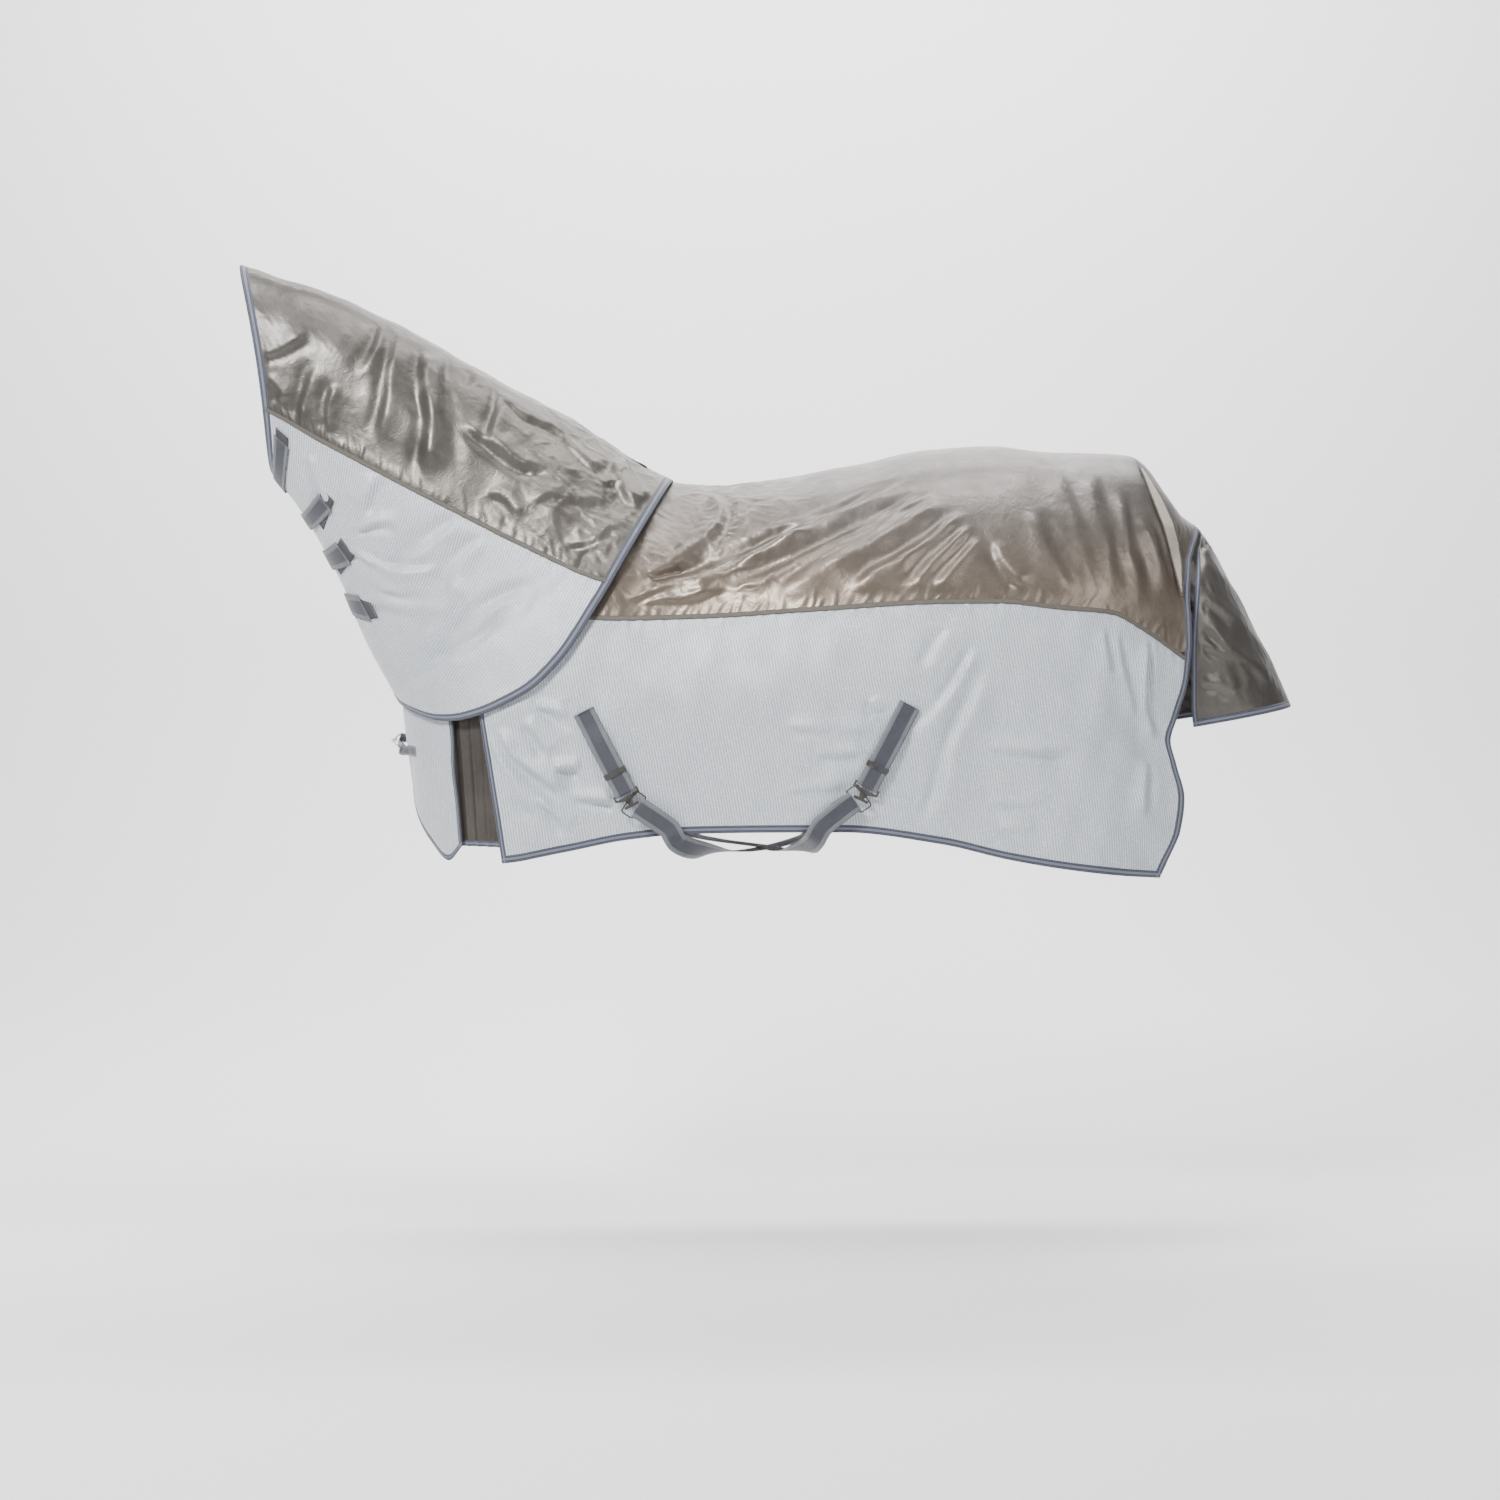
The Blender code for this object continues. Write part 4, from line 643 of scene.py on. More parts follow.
def strap(rows, thickness):
    """Webbing through rows of edge points, as a grid for mesh_piece."""
    rows = np.array([[tuple(p) for p in row] for row in rows], dtype=float)
    keep = [0]
    for i in range(1, len(rows)):
        if np.linalg.norm(rows[i].mean(0) - rows[keep[-1]].mean(0)) > 0.0004:
            keep.append(i)
    rows = rows[keep]
    middle = rows.mean(1)
    at = np.concatenate([[0], np.cumsum(np.linalg.norm(np.diff(middle, axis=0), axis=1))])
    out = []
    for i in range(len(rows) - 1):
        a, b = rows[max(i - 1, 0)], rows[min(i + 2, len(rows) - 1)]
        c, d = rows[i], rows[i + 1]
        before, span = max(at[i] - at[i - 1], 1e-6) if i else at[1], at[i + 1] - at[i]
        after = at[i + 2] - at[i + 1] if i + 2 < len(rows) else span
        m0 = (d - a) / (before + span) * span if i else d - c
        m1 = (b - c) / (span + after) * span if i + 2 < len(rows) else d - c
        steps = max(1, round(span / STRAP_SPACING))
        for k in range(steps):
            t = k / steps
            out.append((2 * t ** 3 - 3 * t ** 2 + 1) * c + (t ** 3 - 2 * t ** 2 + t) * m0
                       + (3 * t ** 2 - 2 * t ** 3) * d + (t ** 3 - t ** 2) * m1)
    out.append(rows[-1])
    p = cubic(np.array(out), STRAP_POINTS, 1) if rows.shape[1] > 2 else np.array(
        [[r[0] + (r[1] - r[0]) * k / (STRAP_POINTS - 1) for k in range(STRAP_POINTS)] for r in out])
    n = unit(np.cross(np.gradient(p, axis=0), np.gradient(p, axis=1)))
    return tube((p, n), thickness, overhang=0.0)


SIDES = {"left": -1, "right": 1}


# ---------------------------------------------------------------- materials

class Finish:
    """A Principled material and the nodes that feed it."""

    def __init__(self, name, **constants):
        self.material = bpy.data.materials.new(name)
        self.material.use_nodes = True
        self.tree = self.material.node_tree
        self.shader = self.tree.nodes["Principled BSDF"]
        for socket, value in constants.items():
            self.shader.inputs[socket.replace("_", " ")].default_value = value

    def node(self, kind, inputs=(), **settings):
        made = self.tree.nodes.new("ShaderNode" + kind)
        for key, value in settings.items():
            setattr(made, key, value)
        for socket, value in dict(inputs).items():
            self.feed(made.inputs[socket], value)
        return made.outputs[0]

    def feed(self, socket, value):
        if isinstance(value, bpy.types.NodeSocket):
            self.tree.links.new(value, socket)
        else:
            socket.default_value = value

    def math(self, operation, *values):
        return self.node("Math", enumerate(values), operation=operation)

    def coordinate(self, which):
        return self.tree.nodes.new("ShaderNodeTexCoord").outputs[which]

    def axis(self, vector, which):
        split = self.tree.nodes.new("ShaderNodeSeparateXYZ")
        self.tree.links.new(vector, split.inputs[0])
        return split.outputs[which]

    def noise(self, vector, scale, detail=2.0, roughness=0.5, distortion=0.0):
        return self.node("TexNoise", {"Vector": vector, "Scale": scale, "Detail": detail,
                                      "Roughness": roughness, "Distortion": distortion})

    def ramp(self, value, low, high, start=0.0, end=1.0):
        return self.node("MapRange", {0: value, 1: low, 2: high, 3: start, 4: end})

    def mix(self, share, a, b):
        made = self.tree.nodes.new("ShaderNodeMix")
        made.data_type = "RGBA"
        self.feed(made.inputs[0], share)
        for socket, value in ((6, a), (7, b)):
            plain = not isinstance(value, bpy.types.NodeSocket)
            self.feed(made.inputs[socket], (*value, 1) if plain else value)
        return made.outputs[2]

    def stripes(self, value, period, low=0.0, high=1.0):
        """A smooth wave of a value that repeats each period."""
        wave = self.math("SINE", self.math("MULTIPLY", value, 2 * math.pi / period))
        return self.ramp(wave, -1.0, 1.0, low, high)

    def band(self, value, middle, half, soft=0.02):
        """1 within half of the middle, 0 outside."""
        away = self.math("ABSOLUTE", self.math("SUBTRACT", value, middle))
        return self.ramp(away, half + soft, half - soft)

    def bump(self, height, distance, strength=1.0, under=None):
        made = {"Height": height, "Distance": distance, "Strength": strength}
        if under:
            made["Normal"] = under
        return self.node("Bump", made)

    def use(self, **sockets):
        for socket, value in sockets.items():
            self.feed(self.shader.inputs[socket.replace("_", " ")], value)
        return self.material


def satin(name, base, warm, shade, warm_from, warm_to):
    """Crushed taupe satin; warm toward one height, with a fine weave and a soft crinkle."""
    f = Finish(name, Metallic=0.62)
    where = f.coordinate("Object")
    height = f.ramp(f.axis(where, 2), warm_from, warm_to)
    mottle = f.noise(where, 9.0, 3.0, 0.6)
    colour = f.mix(height, base, warm)
    colour = f.mix(f.ramp(mottle, 0.35, 0.7, 0.0, 0.45), colour, shade)
    slub = f.noise(where, 420.0, 2.0, 0.6)
    colour = f.mix(f.ramp(slub, 0.4, 0.7, 0.0, 0.25), colour, shade)
    crinkle = f.bump(f.noise(where, 38.0, 4.0, 0.6, 0.8), 0.0020, 0.5)
    weave = f.bump(slub, 0.0004, 0.35, crinkle)
    rough = f.ramp(f.noise(where, 30.0, 2.0, 0.5), 0.3, 0.7, 0.33, 0.44)
    return f.use(Base_Color=colour, Normal=weave, Roughness=rough)


def mesh_cloth(name, base, shade):
    """Pale ribbed mesh: soft ribs about 6 mm apart with painted shade in the grooves between them, fine
    holes, and a little painted sparkle of glints.
    """
    f = Finish(name, Sheen_Weight=0.2, Metallic=0.12)
    cut = f.coordinate("UV")
    along, across = f.axis(cut, 0), f.axis(cut, 1)
    where = f.coordinate("Object")
    sway = f.math("MULTIPLY", f.math("SUBTRACT", f.noise(where, 14.0, 2.0), 0.5), 0.005)
    ribs = f.stripes(f.math("ADD", along, sway), 0.0060)
    rows = f.stripes(across, 0.0021)
    holes = f.node("TexVoronoi", {"Vector": cut, "Scale": 620.0})
    cloudy = f.noise(where, 22.0, 4.0, 0.6)
    # Painted shade: the troughs between the ribs are darkened in the colour.
    colour = f.mix(f.ramp(ribs, 0.1, 0.7, 0.75, 0.0), base, shade)
    colour = f.mix(f.ramp(cloudy, 0.35, 0.72, 0.0, 0.18), colour, shade)
    colour = f.mix(f.ramp(holes, 0.35, 0.75, 0.0, 0.35), colour, shade)
    # Painted highlight: random specks of near-white glint painted into the colour.
    painted_glint = f.ramp(f.noise(where, 420.0, 1.0, 0.4), 0.58, 0.70, 0.0, 0.4)
    colour = f.mix(painted_glint, colour, (0.93, 0.95, 0.97))
    normal = f.bump(ribs, 0.0008, 0.5)
    normal = f.bump(f.math("MULTIPLY", rows, holes), 0.0003, 0.5, normal)
    rough = f.ramp(cloudy, 0.3, 0.7, 0.42, 0.54)
    return f.use(Base_Color=colour, Normal=normal, Roughness=rough)


def banded(name, middle, edges, half, stitch_at, stitch, twill):
    """Woven tape with a central band and two rows of stitches; across runs from 0 to 1 in UV."""
    f = Finish(name, Sheen_Weight=0.2)
    cut = f.coordinate("UV")
    along, across = f.axis(cut, 0), f.axis(cut, 1)
    where = f.coordinate("Object")
    wear = f.noise(where, 60.0, 3.0, 0.6)
    band = f.band(across, 0.5, half)
    colour = f.mix(band, edges, middle)
    colour = f.mix(f.ramp(wear, 0.3, 0.75, 0.0, 0.4), colour,
                   tuple(0.55 * a + 0.45 * b for a, b in zip(middle, edges)))
    ribs = f.stripes(f.math("ADD", along, f.math("MULTIPLY", across, twill)), 0.0023)
    colour = f.mix(f.ramp(ribs, 0.0, 1.0, 0.22, 0.0), colour, tuple(0.4 * a for a in edges))
    dashes = f.ramp(f.math("FRACT", f.math("DIVIDE", along, 0.0036)), 0.66, 0.70, 1.0, 0.0)
    rows = f.math("ADD", *(f.band(across, row, 0.022, 0.008) for row in (stitch_at, 1 - stitch_at)))
    thread = f.math("MULTIPLY", dashes, rows)
    colour = f.mix(thread, colour, stitch)
    normal = f.bump(f.math("ADD", ribs, f.math("MULTIPLY", thread, 1.5)), 0.0005, 0.6)
    normal = f.bump(wear, 0.0006, 0.3, normal)
    return f.use(Base_Color=colour, Normal=normal, Roughness=f.ramp(wear, 0.3, 0.7, 0.58, 0.74))


def plain_cloth(name, base, shade, scale, rough):
    """Plain cloth with a visible grain."""
    f = Finish(name, Sheen_Weight=0.15)
    where = f.coordinate("Object")
    grain = f.noise(where, scale, 3.0, 0.65)
    cloudy = f.noise(where, 25.0, 3.0)
    colour = f.mix(f.ramp(grain, 0.35, 0.68, 0.0, 0.8), base, shade)
    colour = f.mix(f.ramp(cloudy, 0.35, 0.7, 0.0, 0.3), colour, shade)
    normal = f.bump(grain, 0.0008, 0.6)
    return f.use(Base_Color=colour, Normal=normal, Roughness=f.ramp(grain, 0.3, 0.7, rough, rough + 0.12))


def metal(name, base, worn, rough):
    """Plated metal with faint wear and casting marks."""
    f = Finish(name, Metallic=1.0)
    where = f.coordinate("Object")
    rub = f.noise(where, 260.0, 4.0, 0.65)
    patch = f.noise(where, 70.0, 2.0)
    colour = f.mix(f.ramp(patch, 0.4, 0.65, 0.0, 0.6), base, worn)
    return f.use(Base_Color=colour, Normal=f.bump(rub, 0.00025, 0.35),
                 Roughness=f.ramp(rub, 0.3, 0.7, rough, rough + 0.16))


TAUPE_BODY = satin("taupe_satin_body", (0.160, 0.147, 0.140), (0.192, 0.153, 0.117), (0.080, 0.070, 0.062),
                   -0.02, -0.22)
TAUPE_NECK = satin("taupe_satin_neck", (0.108, 0.100, 0.092), (0.122, 0.111, 0.097), (0.056, 0.050, 0.044),
                   0.30, 0.0)
TAUPE_TAIL = satin("taupe_satin_tail", (0.128, 0.119, 0.108), (0.112, 0.103, 0.092), (0.054, 0.049, 0.043),
                   -0.15, -0.5)
TAUPE_DARK = satin("taupe_satin_dark", (0.098, 0.088, 0.078), (0.096, 0.086, 0.075), (0.048, 0.042, 0.037),
                   -0.5, -0.8)
MESH_LOOK = mesh_cloth("pale_mesh", (0.610, 0.645, 0.680), (0.250, 0.276, 0.312))
BINDING_LOOK = banded("striped_binding", (0.150, 0.165, 0.215), (0.020, 0.023, 0.040), 0.17, 0.12,
                      (0.14, 0.15, 0.20), 0.004)
TAPE_LOOK = banded("seam_tape", (0.095, 0.083, 0.067), (0.052, 0.045, 0.036), 0.30, 0.18,
                   (0.16, 0.14, 0.115), 0.002)
WEBBING_LOOK = banded("striped_webbing", (0.022, 0.022, 0.036), (0.125, 0.133, 0.145), 0.29, 0.07,
                      (0.16, 0.17, 0.20), 0.010)
PAD_LOOK = plain_cloth("hook_and_loop", (0.022, 0.022, 0.026), (0.060, 0.060, 0.068), 900.0, 0.80)
WEDGE_LOOK = plain_cloth("pale_lining", (0.470, 0.425, 0.355), (0.330, 0.285, 0.225), 260.0, 0.60)
CHROME = metal("chrome", (0.78, 0.78, 0.80), (0.60, 0.60, 0.62), 0.12)
NICKEL = metal("dark_nickel", (0.13, 0.125, 0.125), (0.07, 0.068, 0.068), 0.32)
STEEL = metal("browned_steel", (0.075, 0.066, 0.060), (0.040, 0.034, 0.030), 0.38)


# ---------------------------------------------------------------- the panels

EDGE_ROOM = 0.003            # cloth stops this far inside its own bound edge


def back_half(side):
    """One side of the back panel, from the seam up to the neckline or the spine."""
    first, last = BACK_FIRST, REAR - EDGE_ROOM

    def where(i, j):
        u = first + (last - first) * i
        low = share_at(u, seam_height(u) + 0.0005)
        return body_point(u, height_at(u, low * (1 - j)), side)

    return Cloth(where, (120, 45), (336, 150), -side)


def side_half(side):
    """One mesh side panel, from the seam down to the hem."""
    first, last = PANEL_FRONT[0] + EDGE_ROOM, REAR - EDGE_ROOM
    joins = -0.370, -0.310

    def where(i, j):
        u = first + (last - first) * i
        if u >= joins[1]:
            high = seam_height(u) - 0.0005
        elif u <= joins[0]:
            high = top_height(u)
        else:
            share = (u - joins[0]) / (joins[1] - joins[0])
            high = between(top_height(joins[0]), seam_height(joins[1]), share)
        station = u + (PANEL_FRONT[1] - PANEL_FRONT[0]) * j * (1 - ramp(u, -0.40, -0.15))
        return body_point(station, between(high, hem_height(station) + EDGE_ROOM, j), side)

    return Cloth(where, (126, 36), (350, 116), side)


def flap_half(side):
    first, last = FLAP_FRONT + EDGE_ROOM, FLAP_REAR - EDGE_ROOM

    def where(i, j):
        u = first + (last - first) * i
        return body_point(u, between(top_height(u), flap_hem(u) + EDGE_ROOM, j), side)

    return Cloth(where, (34, 30), (68, 84), side)


def gusset_half(side):
    under = BINDING_THICKNESS + CLEARANCE + 0.75 * FACET

    def where(i, j):
        depth = under + PLEAT_DEPTH * math.sin(math.pi * i) ** 0.6
        return body_point(between(*GUSSET, i), between(-0.462, GUSSET_HEM + EDGE_ROOM, j), side, -depth)

    return Cloth(where, (16, 24), (46, 80), side)


def station_at(x, z):
    """The station whose warped position at height z is x."""
    return solve(lambda u: x - body_point(u, z, 1).x, WARP_START, REAR + 0.2)


def wedge_half(side):
    def where(i, j):
        lift = CLOTH + CLEARANCE + FACET + DOCK_ROOM * ramp(i, 0.2, 0.5)
        x = between(wedge_front[0](i), wedge_rear[0](i), j)
        z = between(wedge_front[1](i), wedge_rear[1](i), j)
        station = min(station_at(x, z), REAR - BINDING_WIDTH - 0.0006)
        return body_point(station, min(z, top_height(station) - 0.004), side, lift)

    return Cloth(where, (18, 5), (72, 14), -side)


def neck_upper():
    def where(i, j):
        t = between(0.003, 0.997, i)
        return neck_point(t, seam_angle(t) * abs(2 * j - 1), 1 if j > 0.5 else -1)

    return Cloth(where, (64, 61), (250, 181), 1)


def neck_half(side):
    def where(i, j):
        t = between(0.003, 0.997, i)
        return neck_point(t, between(seam_angle(t) + 0.002, throat_angle(t), j), side)

    return Cloth(where, (54, 40), (210, 118), side)


def flap_of_tail():
    return Cloth(lambda i, j: tail_point(between(0.002, 0.994, i), (2 * j - 1) * 0.985),
                 (24, 41), (96, 121), 1)


def off_apron(p):
    """1 where the body sheet is clear of the neck cover, falling where the cover lies over it."""
    edge = np.array([tuple(neck_point(1.0, math.pi * k / 40, -1)) for k in range(39)])
    x = np.interp(-p[..., 2], -edge[:, 2], edge[:, 0])
    return 0.15 + 0.85 * smooth(p[..., 0] - x, -0.010, 0.035)


def tab_run(where):
    """Run of a tab along the horse for each metre down; both tabs slope to the middle."""
    return TAB_SLOPE * (1 if where == "front" else -1)


def under_tabs(p):
    """1 where a surcingle tab or far strap lies on the side panel, 0 well away from it."""
    cover = np.zeros(p.shape[:-1])
    for where, (x, z) in TAB_TOPS.items():
        run = tab_run(where)
        gap = np.abs(p[..., 0] - x - run * (z - p[..., 2])) / math.hypot(1, run)
        cover = np.maximum(cover, (1 - smooth(gap, 0.024, 0.040)) * (p[..., 2] < z + 0.02))
    return cover


BACK_FOLDS = (
    (13, 7.5, 1, ((.505, .002), (.32, -.086), (.145, -.162), (0, -.218), (-.11, -.254))),
    (15, 10, 1, ((.289, -.098), (.177, -.162), (.065, -.218), (-.063, -.262))),
    (13, 8, 1, ((.545, -.026), (.40, -.106), (.289, -.162), (.16, -.218), (.073, -.25))),
    (12, 7, 1, ((.561, -.042), (.449, -.114), (.337, -.178), (.241, -.234), (.185, -.258))),
    (10, 5, 1, ((.505, -.058), (.385, -.13), (.289, -.186), (.193, -.242))),
    (13, 7, 1, ((.609, -.066), (.529, -.13), (.449, -.186), (.353, -.242))),
    (11, 6, 1, ((.625, -.09), (.561, -.154), (.497, -.218), (.465, -.242))),
    (11, 6, 1, ((.641, -.114), (.601, -.162), (.561, -.218), (.529, -.246))),
    (10, 5, 1, ((.665, -.122), (.681, -.162), (.713, -.21), (.729, -.234))),
    (15, 4.5, -1, ((.735, -.06), (.765, -.14), (.795, -.21), (.82, -.262))),
    (16, 4.5, -1, ((.80, .02), (.825, -.08), (.845, -.17), (.86, -.262))),
    (15, 5, -1, ((.87, .02), (.889, -.10), (.90, -.19), (.912, -.27))),
    (14, 5, -1, ((.93, -.02), (.945, -.12), (.958, -.20), (.972, -.275))),
    (12, 4.5, -1, ((.975, -.07), (1.005, -.15), (1.028, -.215), (1.04, -.28))),
    (13, 7, -1, ((.057, -.018), (.085, -.05), (.081, -.09), (.049, -.13), (.001, -.158), (-.039, -.166))),
    (10, 4, 1, ((.117, -.07), (.145, -.03))),
    (8, 4, 1, ((-.071, -.198), (-.015, -.178), (.013, -.166))),
    (9, 5, 1, ((-.111, -.25), (.001, -.222), (.105, -.194))),
    (8, 4, 1, ((-.099, -.262), (.033, -.242), (.129, -.218))),
)
NECK_FOLDS = (
    (12, 6, 1, ((-.608, .334), (-.611, .228), (-.621, .128), (-.627, .072))),
    (14, 9, 1, ((-.549, .29), (-.537, .215), (-.521, .128), (-.521, .053), (-.518, -.015))),
    (12, 6, -1, ((-.521, .29), (-.521, .215), (-.506, .103), (-.509, -.009))),
    (10, 5, 1, ((-.64, .346), (-.643, .29), (-.683, .215))),
    (8, 4, 1, ((-.44, .24), (-.434, .197))),
    (11, 6, 1, ((-.387, .203), (-.378, .153), (-.39, .091), (-.34, .047))),
    (11, 6, 1, ((-.384, .197), (-.328, .147), (-.259, .122), (-.203, .091))),
    (10, 5, 1, ((-.259, .109), (-.203, .053), (-.16, .016))),
    (12, 8, 1, ((-.147, .053), (-.116, -.009), (-.079, -.053))),
    (9, 5, -1, ((-.129, .06), (-.091, .004), (-.054, -.046))),
    (9, 5, 1, ((-.172, -.003), (-.122, -.003), (-.079, -.071))),
    (11, 6, 1, ((-.465, .128), (-.39, .078), (-.328, .041), (-.278, .047))),
    (10, 5, 1, ((-.409, -.021), (-.359, -.04), (-.328, -.084))),
    (10, 5, 1, ((-.316, -.053), (-.266, -.021), (-.203, -.04), (-.141, -.034))),
    (9, 4, 1, ((-.241, -.134), (-.185, -.121), (-.129, -.084))),
    (10, 5, 1, ((-.895, .271), (-.839, .296), (-.795, .321))),
    (9, 4, 1, ((-.882, .228), (-.851, .197), (-.845, .166))),
    (10, 5, -1, ((-.814, .128), (-.795, .184), (-.764, .259))),
    (10, 5, -1, ((-.745, .103), (-.739, .166), (-.72, .209))),
)
NECK_MESH_FOLDS = (
    (20, 5, 1, ((-.446, -.071), (-.502, -.121), (-.565, -.177), (-.615, -.221))),
    (18, 4, 1, ((-.702, -.239), (-.602, -.264), (-.515, -.264), (-.478, -.258))),
    (15, 3, 1, ((-.708, -.137), (-.658, -.165), (-.615, -.171))),
    (22, 5, 1, ((-.35, -.30), (-.45, -.38), (-.55, -.43))),
    (20, 4, 1, ((-.45, -.20), (-.52, -.30), (-.56, -.38))),
    (11, 4, 1, ((-.700, -.105), (-.640, -.085), (-.585, -.095))),
    (11, 4, -1, ((-.690, -.150), (-.620, -.190), (-.540, -.195), (-.490, -.175))),
    (12, 4, 1, ((-.660, -.215), (-.590, -.232), (-.520, -.222))),
    (14, 4, 1, ((-.800, .060), (-.770, -.010), (-.745, -.060))),
    (16, 4, -1, ((-.640, .060), (-.655, -.010), (-.690, -.060))),
    (16, 3, 1, ((-.400, -.120), (-.470, -.190), (-.500, -.250))),
    (18, 5, 1, ((-.300, -.230), (-.380, -.270), (-.440, -.330), (-.500, -.400))),
)
SIDE_FOLDS = (
    (15, 12, 1, ((-.373, -.518), (-.337, -.572), (-.274, -.622), (-.219, -.663))),
    (15, 12, 1, ((-.40, -.532), (-.364, -.59), (-.319, -.654), (-.265, -.713))),
    (13, 9, 1, ((-.319, -.5), (-.283, -.532), (-.256, -.572))),
    (12, 7, 1, ((-.292, -.468), (-.247, -.486), (-.215, -.491))),
    (12, 7, 1, ((-.26, -.6), (-.224, -.597), (-.197, -.6))),
    (12, 7, 1, ((-.224, -.663), (-.174, -.663), (-.12, -.667))),
    (12, 8, 1, ((-.292, -.667), (-.251, -.699), (-.215, -.735))),
    (14, 5, 1, ((.573, -.312), (.541, -.371), (.519, -.409))),
    (14, 5, 1, ((.627, -.339), (.606, -.393), (.562, -.458), (.487, -.55))),
    (15, 6, 1, ((.654, -.387), (.616, -.479), (.584, -.555), (.562, -.642), (.524, -.744))),
    (14, 5, 1, ((.638, -.555), (.735, -.558), (.838, -.566))),
    (13, 4, 1, ((.643, -.666), (.703, -.666), (.773, -.674))),
    (12, 4, 1, ((.665, -.723), (.752, -.731))),
    (14, 5, -1, ((.887, -.312), (.898, -.414))),
    (13, 5, -1, ((.914, -.317), (.941, -.431), (.963, -.512))),
    (12, 7, -1, ((.984, -.333), (.979, -.431), (.99, -.512), (1.017, -.555))),
    (12, 5, -1, ((.995, -.587), (.979, -.663), (.979, -.712))),
    (12, 4, 1, ((.405, -.452), (.432, -.485))),
    (14, 4, 1, ((.281, -.571), (.395, -.555))),
    (14, 4, 1, ((.216, -.652), (.313, -.636), (.362, -.614))),
    (14, 4, 1, ((.216, -.512), (.324, -.517), (.422, -.517))),
)
TAIL_FOLDS = (
    (13, 5, 1, ((1.112, -.249), (1.156, -.268), (1.2, -.293))),
    (15, 6, 1, ((1.115, -.287), (1.169, -.344), (1.238, -.388), (1.288, -.438))),
    (13, 5, 1, ((1.112, -.344), (1.187, -.375), (1.238, -.432))),
    (12, 5, 1, ((1.118, -.432), (1.156, -.432), (1.2, -.457))),
    (10, 4, 1, ((1.15, -.136), (1.124, -.161))),
)

# How much of each fold table's height and width shows.
BACK_GAIN, BACK_SPREAD = 1.25, 1.5
SIDE_GAIN = 1.7
NECK_MESH_GAIN = 2.2
NECK_GAIN, NECK_SPREAD = 1.05, 1.45
# Gathers at a seam or hem: spacing, reach, height, slant.
BACK_GATHERS = (0.024, 0.050, 0.0015, 0.5)
SIDE_GATHERS = (0.030, 0.050, 0.0016, -0.3)
HEM_GATHERS = (0.034, 0.030, 0.0010)
NECK_MESH_GATHERS = (0.030, 0.040, 0.0014, 0.2)
NECK_GATHERS = (0.022, 0.055, 0.0022, -0.2)
SATIN_WAVE = 0.0016          # height of the broad waves in the satin
BACK_FIRST = -0.310          # front station of the back panel
OVER_PLEAT_DEPTH = 0.0015    # how far the mesh may go inward over the shoulder's pleat
MESH_DEPTH = 0.02            # the same, elsewhere
PLEATS, PLEAT_WAVE = 5, 0.0045


def hem_room(cloth):
    """How far each point is from the cloth's last column."""
    return cloth.v[:, -1:] - cloth.v


def end_room(cloth):
    """How far each point is from the cloth's last row."""
    return cloth.u[-1:] - cloth.u


def keep_on_midplane(cloth, rows):
    """Hold the back panel's spine on the midplane, so that its halves meet."""
    cloth.p[rows, -1, 1] = 0.0
    cloth.n[rows, -1, 1] = 0.0
    cloth.n = unit(cloth.n)


